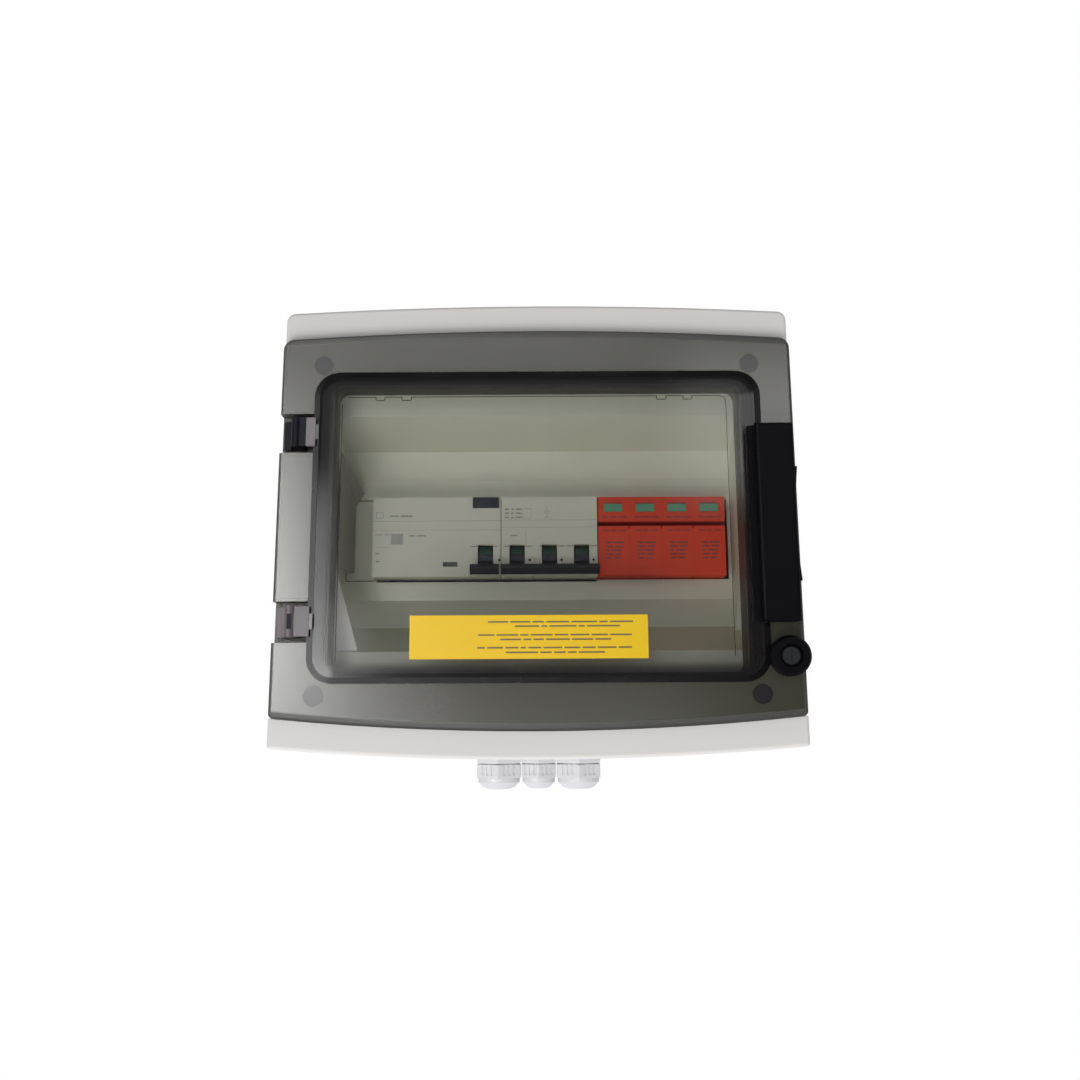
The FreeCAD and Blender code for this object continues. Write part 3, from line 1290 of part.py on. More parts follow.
def make_gland_body(name, side):
    body = new_body(f"gland_body_{name}")
    seat = -s.gland_seat
    gland_hexagon(body, "hexagon", side, seat - s.gland_hex_height, s.gland_hex_height)
    dress(body, "Chamfer", lambda e: near(e.BoundBox.ZMax, seat.value - s.gland_hex_height.value)
          and e.BoundBox.ZLength < 0.1, 0.5, "hexagon_edge")
    gland_disc(body, "collar", side, seat - s.gland_hex_height - s.gland_nut_gap,
               gland_flats(side) / 2 - 1.2, s.gland_nut_gap + 0.2)
    top = -s.gland_pad_inner + s.locknut_height + 1
    gland_disc(body, "thread", side, seat - 0.2, gland_thread(side), top - seat + 0.2)
    tail = seat - s.gland_hex_height - s.gland_tail
    gland_disc(body, "tail", side, tail, gland_bore(side) + 1.6, s.gland_tail + 0.2)
    gland_disc(body, "bore", side, top + 1, gland_bore(side), top - tail + 3, cuts=True)
    return body


def make_gland_nut(name, side):
    """The cap nut: a ribbed hexagon that rounds over to the cable's mouth."""
    body = new_body(f"gland_nut_{name}")
    top = -s.gland_seat - s.gland_hex_height - s.gland_nut_gap
    hex_low = top - s.gland_nut_hex
    gland_hexagon(body, "hexagon", side, hex_low, s.gland_nut_hex)
    dome_radius = gland_flats(side) / 2 - 0.4
    gland_disc(body, "dome", side, hex_low - s.gland_dome, dome_radius, s.gland_dome + 0.2)
    for step, share in (("first", 0.62), ("second", 0.25)):
        low = body.Tip.Shape.BoundBox.ZMin
        dress(body, "Chamfer", lambda e: near(e.BoundBox.ZMin, low) and e.BoundBox.ZLength < 0.1,
              s.gland_dome * share, f"dome_{step}")
    gland_disc(body, "mouth", side, top + 1, gland_bore(side), s.gland_nut_hex + s.gland_dome + 2,
               cuts=True)
    gland_disc(body, "seal_seat", side, top + 1, gland_bore(side) + 1.9,
               s.gland_nut_hex + s.gland_dome - 1.8, cuts=True)
    make_nut_grooves(body, side, top)
    return body


def make_nut_grooves(body, side, top):
    """Upright grooves that leave grip ribs round the nut, six on each flat."""
    grooves = new_sketch(body, "grooves", "XY", top + 1)
    flats = gland_flats(side)
    for flat in range(6):
        turn = math.radians(60 * flat)
        for step in (-1, 0, 1):
            along, out = s.gland_rib * 2 * step, flats / 2
            corners = []
            for shift, reach in ((-0.5, 0.4), (0.5, 0.4), (0.5, -0.5), (-0.5, -0.5)):
                u, v = along + s.gland_rib * shift, out + reach
                corners.append((s.gland_pitch * side + v * math.cos(turn) - u * math.sin(turn),
                                v * math.sin(turn) + u * math.cos(turn) - s.gland_depth))
            outline(grooves, corners)
    pocket(body, grooves, s.gland_nut_hex - 0.6)


def make_gland_seals():
    body = new_body("gland_seals", separate=True)
    top = -s.gland_seat - s.gland_hex_height - s.gland_tail - 0.3
    low = -s.gland_seat - s.gland_hex_height - s.gland_nut_gap - s.gland_nut_hex - s.gland_dome
    low = low + 2.8
    outer = new_sketch(body, "outside", "XY", low)
    for side in GLANDS.values():
        circle(outer, s.gland_pitch * side, -s.gland_depth, gland_bore(side) + 1.7)
    pad(body, outer, top - low)
    inner = new_sketch(body, "inside", "XY", top + 1)
    for side in GLANDS.values():
        circle(inner, s.gland_pitch * side, -s.gland_depth, gland_bore(side))
    pocket(body, inner, top - low + 2)
    return body


def make_gland_locknuts():
    body = new_body("gland_locknuts", separate=True)
    low = -s.gland_pad_inner
    nuts = new_sketch(body, "nuts", "XY", low)
    for side in GLANDS.values():
        flats = gland_flats(side) - 0.4
        hexagon(nuts, s.gland_pitch * side, -s.gland_depth, flats)
    pad(body, nuts, s.locknut_height)
    bores = new_sketch(body, "bores", "XY", low + s.locknut_height + 1)
    for side in GLANDS.values():
        circle(bores, s.gland_pitch * side, -s.gland_depth, gland_thread(side) + 0.05)
    pocket(body, bores, s.locknut_height + 2)
    return body


# Earth and neutral bars on their holders below the rail
def terminal_bar(label, way):
    body = new_body(label)
    centre = s.bar_x * way
    half = s.bar_span / 2
    bar = new_sketch(body, "bar", "XZ", s.bar_back)
    rectangle(bar, centre - half, centre + half, s.bar_z - s.bar_height / 2,
              s.bar_z + s.bar_height / 2)
    pad(body, bar, s.bar_depth)
    screws = new_sketch(body, "screw_holes", "XZ", s.bar_back + s.bar_depth)
    wires = new_sketch(body, "wire_holes", "XY", (s.bar_z + s.bar_height / 2))
    for x in bar_screw_places(centre):
        circle(screws, x, s.bar_z, s.bar_screw_radius)
        circle(wires, x, -(s.bar_back + s.bar_depth / 2), 2.0)
    pocket(body, screws, s.bar_depth * 0.6)
    pocket(body, wires, s.bar_height + 2)
    return body


def bar_screw_places(centre):
    count = int(round(s.bar_screws.value))
    return [centre + s.bar_pitch * (number - (count - 1) / 2) for number in range(count)]


def make_bar_screws():
    places = [(x, s.bar_z) for way in (-1, 1) for x in bar_screw_places(s.bar_x * way)]
    top = s.bar_back + s.bar_depth + 2
    return screw_group("bar_screws", places, top, s.bar_screw_head, size(2.0),
                       s.bar_screw_radius, size(1.6))


def make_bar_holders():
    body = new_body("bar_holders", separate=True)
    feet = new_sketch(body, "feet", "XZ", s.box_wall)
    pillars = new_sketch(body, "pillars", "XZ", s.box_wall + 2.5)
    low, high = s.bar_z - 6, s.bar_z + 6
    for way in (-1, 1):
        centre = s.bar_x * way
        half = s.bar_span / 2
        rectangle(feet, centre - half, centre + half, low, high)
        for end in (-1, 1):
            outer = centre + half * end
            ends = sorted((outer, outer - s.pillar_width * end), key=lambda x: x.value)
            rectangle(pillars, *ends, low + 1, high - 1)
    pad(body, feet, s.bar_foot)
    pad(body, pillars, s.bar_back - s.box_wall - 2.5)
    return body


PIECES = [
    make_back_box(), make_front_cover(), make_cover_gasket(), make_cover_screws(),
    make_screw_caps(), make_door(), make_door_gasket(),
    make_hinge_block("upper", 1), make_hinge_block("lower", -1),
    make_hinge_pin("upper", 1), make_hinge_pin("lower", -1),
    make_handle_bracket(), make_door_handle(), make_handle_pin(),
    make_lock_housing(), make_lock_barrel(), make_lock_cam(), make_lock_cam_screw(),
    make_inner_panel(), make_panel_screws(), make_blank_filler(),
    make_din_rail(), make_rail_screws(),
    make_rcd_housing(), make_rcd_toggle(), make_rcd_test_button(), make_rcd_indicator(),
    make_terminal_screws("rcd_terminal_screws", module_left(0), 4, s.module),
    make_rail_clip("rcd_rail_clip", module_left(2)),
]
PIECES += [make_mcb_housing(number) for number in range(POLES)]
PIECES += [make_mcb_toggle(number) for number in range(POLES)]
PIECES += [
    make_mcb_tie_bar(), make_rail_clip("mcb_rail_clip", module_left(5) + s.module / 2),
    make_terminal_screws("mcb_terminal_screws", module_left(4), POLES, s.module),
    make_spd_base(), make_spd_indicators(),
    make_terminal_screws("spd_terminal_screws", module_left(7), 4, s.module),
    make_rail_clip("spd_rail_clip", module_left(9)),
]
PIECES += [make_spd_cartridge(number) for number in range(CARTRIDGES)]
for gland_name, gland_side in GLANDS.items():
    PIECES += [make_gland_body(gland_name, gland_side), make_gland_nut(gland_name, gland_side)]
PIECES += [make_gland_seals(), make_gland_locknuts(), terminal_bar("earth_bar", -1),
           terminal_bar("neutral_bar", 1), make_bar_screws(), make_bar_holders()]

doc.recompute()
for item in doc.Objects:
    if "Invalid" in item.State or "Error" in item.State:
        raise RuntimeError(f"{item.Label} failed: {item.State}")
for piece in PIECES:
    if piece.Shape.isNull() or not piece.Shape.isValid():
        raise RuntimeError(f"{piece.Label} has no valid shape")
for piece in PIECES:
    piece.Shape.exportStep(f"parts/{piece.Label}.step")
print(f"{len(PIECES)} pieces written")
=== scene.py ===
import json
import math
import bpy
from mathutils import Matrix, Vector


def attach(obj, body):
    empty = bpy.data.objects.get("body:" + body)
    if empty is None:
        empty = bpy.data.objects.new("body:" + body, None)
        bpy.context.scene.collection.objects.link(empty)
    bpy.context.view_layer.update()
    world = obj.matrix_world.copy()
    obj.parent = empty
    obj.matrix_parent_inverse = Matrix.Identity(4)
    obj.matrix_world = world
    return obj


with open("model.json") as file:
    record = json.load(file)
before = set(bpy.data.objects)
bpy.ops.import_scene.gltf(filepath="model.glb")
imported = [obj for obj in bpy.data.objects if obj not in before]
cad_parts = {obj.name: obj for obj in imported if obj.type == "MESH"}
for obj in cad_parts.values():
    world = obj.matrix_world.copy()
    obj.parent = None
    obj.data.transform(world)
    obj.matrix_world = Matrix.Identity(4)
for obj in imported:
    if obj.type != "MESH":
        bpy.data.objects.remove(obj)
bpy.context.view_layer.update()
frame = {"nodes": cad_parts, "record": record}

# Sizes that the finishes and the trim follow, in millimetres
MM = 0.001
DOOR_HALF_WIDTH, DOOR_HALF_HEIGHT, DOOR_CORNER, DOOR_DEPTH = 118.0, 82.4, 13.5, 122.0
COVER_HALF_WIDTH, COVER_TOP, COVER_BOTTOM = 138.0, 108.0, 106.4
COVER_TOP_RISE, COVER_BOTTOM_RISE, COVER_DEPTH = 4.7, 6.9, 118.0
HINGE_X, HINGE_DEPTH, HINGE_Z = -128.0, 119.6, 50.5
NOSE_DEPTH, ARRESTER_DEPTH, RIM_DEPTH, CUTOUT_DEPTH = 84.0, 82.6, 99.5, 72.0
MODULE, CARTRIDGES = 18.0, 4
DRUM_RADIUS, DRUM_DEPTH, DRUM_Z = 7.52, 76.0, -11.5
SWITCH_LEVER_X, BREAKER_LEVERS_X = -29.1, (-11.4, 6.6, 24.6)

FLOAT, COLOUR, VECTOR = "NodeSocketFloat", "NodeSocketColor", "NodeSocketVector"
MIX_FIRST, MIX_SECOND, MIX_RESULT = 6, 7, 2


# Node helpers
def add(tree, kind, **inputs):
    node = tree.nodes.new(kind)
    for name, value in inputs.items():
        node.inputs[name.replace("_", " ")].default_value = value
    return node


def join(tree, source, output, target, name):
    tree.links.new(source.outputs[output], target.inputs[name])


def combine(tree, how, *sources):
    """A maths node over numbers, nodes' first results, or (node, output) pairs."""
    node = add(tree, "ShaderNodeMath")
    node.operation = how
    for place, source in enumerate(sources):
        if isinstance(source, (int, float)):
            node.inputs[place].default_value = source
        elif isinstance(source, tuple):
            join(tree, *source, node, place)
        else:
            join(tree, source, 0, node, place)
    return node


def combine_vectors(tree, how, source, output="Vector", other=None):
    node = add(tree, "ShaderNodeVectorMath")
    node.operation = how
    join(tree, source, output, node, 0)
    if other is not None:
        node.inputs[1].default_value = other
    return node


def step(tree, source, output, low, high, start=0.0, end=1.0):
    """Carry a value smoothly from start to end as the source goes from low to high."""
    ramp = add(tree, "ShaderNodeMapRange", From_Min=low, From_Max=high, To_Min=start, To_Max=end)
    ramp.interpolation_type = "SMOOTHSTEP"
    join(tree, source, output, ramp, "Value")
    return ramp


def fall(tree, distance, near, far):
    """One up to the near distance, nought past the far one, smooth between them."""
    ramp = add(tree, "ShaderNodeMapRange", To_Min=1.0, To_Max=0.0)
    ramp.interpolation_type = "SMOOTHSTEP"
    join(tree, distance, "Value", ramp, "Value")
    join(tree, *near, ramp, "From Min")
    join(tree, *far, ramp, "From Max")
    return ramp


def carry(tree, mask, output, start, end, target, name):
    """Feed an input with start where the mask is nought and with end where it is one."""
    ramp = add(tree, "ShaderNodeMapRange", To_Min=start, To_Max=end)
    join(tree, mask, output, ramp, "Value")
    join(tree, ramp, "Result", target, name)


def tint(tree, mask, output, first, colour):
    """The first socket's colour, turned to another colour where the mask is one."""
    mix = add(tree, "ShaderNodeMix")
    mix.data_type = "RGBA"
    join(tree, mask, output, mix, "Factor")
    tree.links.new(first, mix.inputs[MIX_FIRST])
    mix.inputs[MIX_SECOND].default_value = colour
    return mix.outputs[MIX_RESULT]


def new_group(name, inputs, outputs):
    tree = bpy.data.node_groups.new(name, "ShaderNodeTree")
    for label, kind in inputs:
        tree.interface.new_socket(label, in_out="INPUT", socket_type=kind)
    for label, kind in outputs:
        tree.interface.new_socket(label, in_out="OUTPUT", socket_type=kind)
    return tree, tree.nodes.new("NodeGroupInput"), tree.nodes.new("NodeGroupOutput")


def object_noise(tree, scale, detail, stretch=(1, 1, 1)):
    place = add(tree, "ShaderNodeTexCoord")
    mapping = add(tree, "ShaderNodeMapping", Scale=stretch)
    noise = add(tree, "ShaderNodeTexNoise", Scale=scale, Detail=detail, Roughness=0.6)
    join(tree, place, "Object", mapping, "Vector")
    join(tree, mapping, "Vector", noise, "Vector")
    return noise


# Node groups
def surface_group(name, marks, gloss_share, grain, relief, sheet=False):
    """Marks that vary the colour and gloss, and a grain. A sheet varies its cover as well."""
    inputs = [("Colour", COLOUR), ("Roughness", FLOAT), ("Mottle", FLOAT), ("Grain", FLOAT)]
    outputs = [("Colour", COLOUR), ("Roughness", FLOAT), ("Normal", VECTOR)]
    if sheet:
        inputs.append(("Cover", FLOAT))
        outputs.append(("Alpha", FLOAT))
    tree, source, output = new_group(name, inputs, outputs)
    centred = combine(tree, "SUBTRACT", (object_noise(tree, *marks), "Fac"), 0.5)
    brightness = combine(tree, "MULTIPLY_ADD", centred, (source, "Mottle"), 1.0)
    shade = add(tree, "ShaderNodeHueSaturation")
    join(tree, source, "Colour", shade, "Color")
    join(tree, brightness, "Value", shade, "Value")
    join(tree, shade, "Color", output, "Colour")
    rough = combine(tree, "MULTIPLY_ADD", centred, gloss_share, (source, "Roughness"))
    join(tree, rough, "Value", output, "Roughness")
    bump = add(tree, "ShaderNodeBump", Distance=relief)
    join(tree, source, "Grain", bump, "Strength")
    join(tree, object_noise(tree, *grain), "Fac", bump, "Height")
    join(tree, bump, "Normal", output, "Normal")
    if sheet:
        alpha = combine(tree, "MULTIPLY_ADD", centred, 0.05, (source, "Cover"))
        join(tree, alpha, "Value", output, "Alpha")
    return tree


def border_group():
    """The door's cover: a black outer ring, which is partly the door's dark edge and partly
    painted shade of the gap round the door, a dark bevel, a clear middle. Also its hinge arms.
    """
    tree, source, output = new_group(
        "door border",
        [("Middle Cover", FLOAT), ("Bevel Cover", FLOAT), ("Ring Cover", FLOAT)],
        [("Cover", FLOAT), ("Arm", FLOAT), ("Knuckle", FLOAT)])
    place = add(tree, "ShaderNodeTexCoord")
    straight = ((DOOR_HALF_WIDTH - DOOR_CORNER) * MM, 1.0, (DOOR_HALF_HEIGHT - DOOR_CORNER) * MM)
    absolute = combine_vectors(tree, "ABSOLUTE", place, "Object")
    inset = combine_vectors(tree, "SUBTRACT", absolute, other=straight)
    corner = combine_vectors(tree, "MAXIMUM", inset, other=(0, 0, 0))
    length = combine_vectors(tree, "LENGTH", corner)
    edge = DOOR_CORNER * MM
    bevel = step(tree, length, "Value", edge - 11.6 * MM, edge - 5.0 * MM)
    # The ring's near-full cover is partly painted shade of the gap round the door.
    ring = step(tree, length, "Value", edge - 3.1 * MM, edge - 2.5 * MM)
    bevel_extra = combine(tree, "SUBTRACT", (source, "Bevel Cover"), (source, "Middle Cover"))
    ring_extra = combine(tree, "SUBTRACT", (source, "Ring Cover"), (source, "Bevel Cover"))
    cover = combine(tree, "MULTIPLY_ADD", bevel, bevel_extra, (source, "Middle Cover"))
    cover = combine(tree, "MULTIPLY_ADD", ring, ring_extra, cover)
    join(tree, cover, "Value", output, "Cover")
    across = add(tree, "ShaderNodeSeparateXYZ")
    join(tree, place, "Object", across, "Vector")
    for label, near, far in (("Arm", 0.2, 0.8), ("Knuckle", 7.3, 7.9)):
        mask = step(tree, across, "X", -(DOOR_HALF_WIDTH + near) * MM,
                    -(DOOR_HALF_WIDTH + far) * MM)
        join(tree, mask, "Result", output, label)
    return tree


def frame_edge_group():
    """Where the cover's arched outline is near (Edge), and that with its collar (Matt)."""
    tree, source, output = new_group(
        "cover edge", [("Top Width", FLOAT), ("Bottom Width", FLOAT), ("Side Width", FLOAT)],
        [("Edge", FLOAT), ("Matt", FLOAT)])
    place = add(tree, "ShaderNodeTexCoord")
    along = add(tree, "ShaderNodeSeparateXYZ")
    join(tree, place, "Object", along, "Vector")
    across = combine(tree, "ABSOLUTE", (along, "X"))
    squared = combine(tree, "MULTIPLY", across, across)
    bend = 1 / (COVER_HALF_WIDTH ** 2 * MM)
    top = combine(tree, "MULTIPLY_ADD", squared, -COVER_TOP_RISE * bend, COVER_TOP * MM)
    bottom = combine(tree, "MULTIPLY_ADD", squared, -COVER_BOTTOM_RISE * bend, COVER_BOTTOM * MM)
    distances = {"Top Width": combine(tree, "SUBTRACT", top, (along, "Z")),
                 "Bottom Width": combine(tree, "ADD", bottom, (along, "Z")),
                 "Side Width": combine(tree, "SUBTRACT", COVER_HALF_WIDTH * MM, across)}
    edge = None
    for label, distance in distances.items():
        near = combine(tree, "MULTIPLY", (source, label), 0.6)
        mask = fall(tree, distance, (near, "Value"), (source, label))
        edge = mask if edge is None else combine(tree, "MAXIMUM", edge, mask)
    join(tree, edge, "Value", output, "Edge")
    collar = step(tree, along, "Y", -(COVER_DEPTH - 2.0) * MM, -(COVER_DEPTH - 4.0) * MM)
    join(tree, combine(tree, "MAXIMUM", edge, collar), "Value", output, "Matt")
    return tree


def pane_group():
    """A bright pane with soft edges, by its middle, its half size and how far its edge fades."""
    tree, source, output = new_group(
        "soft pane",
        [("Middle X", FLOAT), ("Middle Z", FLOAT), ("Half Width", FLOAT),
         ("Half Height", FLOAT), ("Fade", FLOAT), ("Level", FLOAT)],
        [("Level", FLOAT)])
    place = add(tree, "ShaderNodeTexCoord")
    along = add(tree, "ShaderNodeSeparateXYZ")
    join(tree, place, "Object", along, "Vector")
    sides = []
    for axis, middle, half in (("X", "Middle X", "Half Width"), ("Z", "Middle Z", "Half Height")):
        offset = combine(tree, "SUBTRACT", (along, axis), (source, middle))
        reach = combine(tree, "ABSOLUTE", offset)
        end = combine(tree, "ADD", (source, half), (source, "Fade"))
        sides.append(fall(tree, reach, (source, half), (end, "Value")))
    both = combine(tree, "MULTIPLY", *sides)
    level = combine(tree, "MULTIPLY", both, (source, "Level"))
    join(tree, level, "Value", output, "Level")
    return tree


STREAKS = (60.0, 4.0, (0.15, 6.0, 6.0))
MOULDED = surface_group("moulded surface", (22.0, 4.0), 0.25, (1400.0, 2.0), 0.0002)
METAL = surface_group("streaked metal", STREAKS, 0.3, STREAKS, 0.0002)
SHEET = surface_group("smoked sheet", (14.0, 5.0), 0.08, (9.0, 2.0), 0.002, sheet=True)
BORDER, FRAME_EDGE = border_group(), frame_edge_group()


# Finishes
def linear(red, green, blue):
    """An sRGB colour of 0 to 255 as the linear values that the shader takes."""
    def one(value):
        value /= 255
        return value / 12.92 if value <= 0.04045 else ((value + 0.055) / 1.055) ** 2.4
    return (one(red), one(green), one(blue), 1.0)


def use_group(tree, group, values):
    node = tree.nodes.new("ShaderNodeGroup")
    node.node_tree = group
    for label, value in values.items():
        node.inputs[label].default_value = value
    return node


def finish(name, group, colour, roughness, mottle, grain, gloss=0.5, metallic=0.0):
    material = bpy.data.materials.new(name)
    material.use_nodes = True
    tree = material.node_tree
    shader = tree.nodes["Principled BSDF"]
    surface = use_group(tree, group, {"Colour": linear(*colour), "Roughness": roughness,
                                      "Mottle": mottle, "Grain": grain})
    join(tree, surface, "Colour", shader, "Base Color")
    join(tree, surface, "Roughness", shader, "Roughness")
    join(tree, surface, "Normal", shader, "Normal")
    shader.inputs["Metallic"].default_value = metallic
    shader.inputs["Specular IOR Level"].default_value = gloss
    return material


def open_finish(material):
    """A finish's node tree, its shader and its surface group."""
    tree = material.node_tree
    surface = next(node for node in tree.nodes if node.type == "GROUP")
    return tree, tree.nodes["Principled BSDF"], surface


def smoked(name, colour, cover, edge_cover, roughness, gloss):
    """Smoked plastic that lets light through, and covers more where it is seen edge on."""
    material = finish(name, SHEET, colour, roughness, 0.10, 0.02, gloss)
    tree, shader, surface = open_finish(material)
    surface.inputs["Cover"].default_value = cover
    facing = add(tree, "ShaderNodeLayerWeight", Blend=0.35)
    alpha = combine(tree, "MULTIPLY_ADD", (facing, "Facing"), edge_cover, (surface, "Alpha"))
    join(tree, alpha, "Value", shader, "Alpha")
    return material


def door_sheet(name, colour, arm_colour, knuckle_colour, covers, roughness, gloss):
    """The door's smoked plastic, with its border of ring and bevel and its hinge arms."""
    material = smoked(name, colour, covers["Middle Cover"], 0.2, roughness, gloss)
    tree, shader, surface = open_finish(material)
    border = use_group(tree, BORDER, covers)
    join(tree, border, "Cover", surface, "Cover")
    armed = tint(tree, border, "Arm", surface.outputs["Colour"], linear(*arm_colour))
    knuckled = tint(tree, border, "Knuckle", armed, linear(*knuckle_colour))
    tree.links.new(knuckled, shader.inputs["Base Color"])
    carry(tree, border, "Arm", roughness, 0.6, surface, "Roughness")
    return material


def frame_sheet(name, colour, edge_colour, cover, widths, roughness, gloss):
    """The cover's smoked plastic, darker and fuller along its skirt, matt on its collar."""
    material = smoked(name, colour, cover, 0.10, roughness, gloss)
    tree, shader, surface = open_finish(material)
    edge = use_group(tree, FRAME_EDGE, {label: width * MM for label, width in widths.items()})
    carry(tree, edge, "Edge", cover, 0.97, surface, "Cover")
    carry(tree, edge, "Matt", roughness, 0.55, surface, "Roughness")
    edged = tint(tree, edge, "Edge", surface.outputs["Colour"], linear(*edge_colour))
    tree.links.new(edged, shader.inputs["Base Color"])
    return material


# Moulded finishes: colour, roughness, mottle, grain, gloss
MOULDED_FINISHES = {
    "white_plastic": ((230, 228, 226), 0.60, 0.03, 0.10, 0.02),
    "black_rubber": ((24, 23, 26), 0.75, 0.15, 0.30, 0.5),
    "black_plastic": ((9, 8, 13), 0.42, 0.20, 0.15, 0.035),
    "dial_metal": ((32, 33, 38), 0.45, 0.20, 0.20, 0.12),
    "panel_grey": ((210, 212, 190), 0.50, 0.04, 0.10, 0.5),
    "device_grey": ((216, 217, 198), 0.48, 0.03, 0.12, 0.3),
    "lever_black": ((34, 37, 46), 0.40, 0.10, 0.10, 0.2),
    "indicator_dark": ((34, 44, 38), 0.25, 0.10, 0.05, 0.5),
    "indicator_green": ((84, 150, 112), 0.25, 0.10, 0.05, 0.5),
    "arrester_base": ((224, 62, 26), 0.50, 0.06, 0.12, 0.15),
    "arrester_red": ((236, 66, 28), 0.50, 0.06, 0.12, 0.15),
    "gland_nylon": ((218, 218, 223), 0.45, 0.04, 0.12, 0.2),
    "label_yellow": ((240, 198, 10), 0.40, 0.04, 0.06, 0.15),
    "label_ink": ((84, 62, 14), 0.50, 0.10, 0.05, 0.5),
    "grey_ink": ((150, 150, 142), 0.50, 0.10, 0.05, 0.5),
    # Red print on the arrester, and painted shadow over its windows.
    "red_ink_and_window_shadow": ((110, 34, 22), 0.50, 0.10, 0.05, 0.5),
    "slot_green": ((16, 62, 44), 0.45, 0.10, 0.05, 0.5),
    # Smoked hinge plastic with painted light: darkened as painted shade on the upper hinge,
    # lightened as a painted glare on the lower one.
    "hinge_smoke_in_shade": ((14, 12, 22), 0.40, 0.15, 0.10, 0.06),
    "hinge_smoke_in_glare": ((98, 90, 94), 0.45, 0.10, 0.10, 0.2),
    "arm_grey": ((112, 107, 110), 0.50, 0.08, 0.10, 0.2),
    # Black for the door's edge, and painted shade in the gaps round the door and under the
    # devices.
    "black_edge_and_gap_shade": ((9, 8, 10), 0.26, 0.10, 0.05, 0.22),
    # Painted light: pale and dimmer patches on the lower ends of the panel's trough.
    "painted_light_pale": ((244, 242, 236), 0.50, 0.03, 0.05, 0.5),
    "painted_light_dim": ((192, 192, 172), 0.50, 0.03, 0.05, 0.5),
    # Painted shade on the left end of the panel's trough.
    "cheek_shade": ((150, 148, 137), 0.60, 0.06, 0.05, 0.2),
    # Dark seams, slot lines and dots, and painted shade in the gap round the inner panel.
    "dark_seam_and_gap_shade": ((52, 52, 44), 0.60, 0.10, 0.05, 0.5),
    # A pale line of painted highlight along the panel's fold.
    "fold_highlight_pale": ((196, 198, 186), 0.55, 0.05, 0.05, 0.5),
}
# Metal finishes: colour, roughness, mottle, grain
METAL_FINISHES = {
    "plated_screw": ((180, 180, 182), 0.35, 0.20, 0.20),
    "plated_steel": ((190, 190, 192), 0.30, 0.20, 0.20),
    "brass": ((196, 160, 92), 0.30, 0.15, 0.15),
}
FINISHES = {name: finish(name, MOULDED, *values) for name, values in MOULDED_FINISHES.items()}
for metal_name, metal_values in METAL_FINISHES.items():
    FINISHES[metal_name] = finish(metal_name, METAL, *metal_values, metallic=1.0)
FINISHES["smoked_frame"] = frame_sheet(
    "smoked_frame", (67, 66, 54), (34, 34, 28), 0.80,
    {"Top Width": 5.0, "Bottom Width": 4.4, "Side Width": 2.4}, 0.16, 0.5)
FINISHES["smoked_door"] = door_sheet(
    "smoked_door", (32, 30, 31), (96, 92, 94), (18, 16, 24),
    {"Middle Cover": 0.16, "Bevel Cover": 0.62, "Ring Cover": 0.94}, 0.04, 0.5)
FINISHES["smoked_cap"] = smoked("smoked_cap", (32, 27, 31), 0.84, 0.10, 0.18, 0.42)

# Nodes whose finish differs from their slot in the record
OWN_FINISHES = {"screw_caps": "smoked_cap",
                # The hinge blocks take the painted shade (upper) and painted glare (lower) of the
                # smoked hinge plastic.
                "hinge_block_upper": "hinge_smoke_in_shade", "hinge_block_lower": "hinge_smoke_in_glare",
                "hinge_pin_upper": "hinge_smoke_in_shade", "hinge_pin_lower": "black_plastic"}

slots = {part["node"]: part["material_slot"] for part in frame["record"]["subparts"]}
for node_name, node in frame["nodes"].items():
    node.data.materials.clear()
    node.data.materials.append(FINISHES[OWN_FINISHES.get(node_name, slots[node_name])])


# Thin pieces, by corners of x, depth in front of the wall and z in millimetres
def make_piece(name, body, ink, corners, faces):
    mesh = bpy.data.meshes.new(name)
    mesh.from_pydata([(x * MM, -depth * MM, z * MM) for x, depth, z in corners], [], faces)
    mesh.materials.append(FINISHES[ink])
    piece = bpy.data.objects.new(name, mesh)
    bpy.context.scene.collection.objects.link(piece)
    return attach(piece, body)


def fields(name, body, ink, depth, rectangles, thickness=0.06):
    """Join rectangles (left, right, low, high) into one thin raised piece."""
    sunk = 0.02
    box = [(3, 2, 1, 0), (4, 5, 6, 7), (0, 1, 5, 4), (1, 2, 6, 5), (2, 3, 7, 6), (3, 0, 4, 7)]
    corners, faces = [], []
    for left, right, low, high in rectangles:
        first = len(corners)
        for front in (depth - sunk, depth + thickness):
            corners += [(left, front, low), (right, front, low), (right, front, high),
                        (left, front, high)]
        faces += [tuple(first + corner for corner in quad) for quad in box]
    return make_piece(name, body, ink, corners, faces)


def word_row(left, right, low, high, words):
    """Plain bars along a row, as long as the words that a label would carry."""
    gap = 1.1
    scale = (right - left - gap * (len(words) - 1)) / sum(words)
    bars, x = [], left
    for word in words:
        bars.append((x, x + word * scale, low, high))
        x += word * scale + gap
    return bars


# Print and labels
def make_label():
    thickness = 0.12
    fields("yellow_label", "door", "label_yellow", DOOR_DEPTH, [(-65.7, 56.6, -70.3, -47.9)],
           thickness)
    rows = [(-25.5, 48.9, -51.8, -51.0, (7, 7, 4, 8, 9, 3, 8)),
            (-11.7, 42.2, -54.0, -53.2, (8, 2, 9, 2, 11)),
            (-30.6, 48.2, -58.5, -57.7, (6, 8, 3, 8, 5, 7, 6, 8)),
            (-19.3, 37.5, -60.8, -60.0, (8, 3, 4, 9, 8, 6)),
            (-31.1, 48.1, -65.0, -64.2, (3, 6, 5, 2, 5, 7, 6, 5, 7, 5)),
            (-16.3, 34.3, -67.4, -66.6, (11, 4, 4, 3, 9))]
    bars = [bar for row in rows for bar in word_row(*row)]
    fields("label_rows", "door", "label_ink", DOOR_DEPTH + thickness, bars)


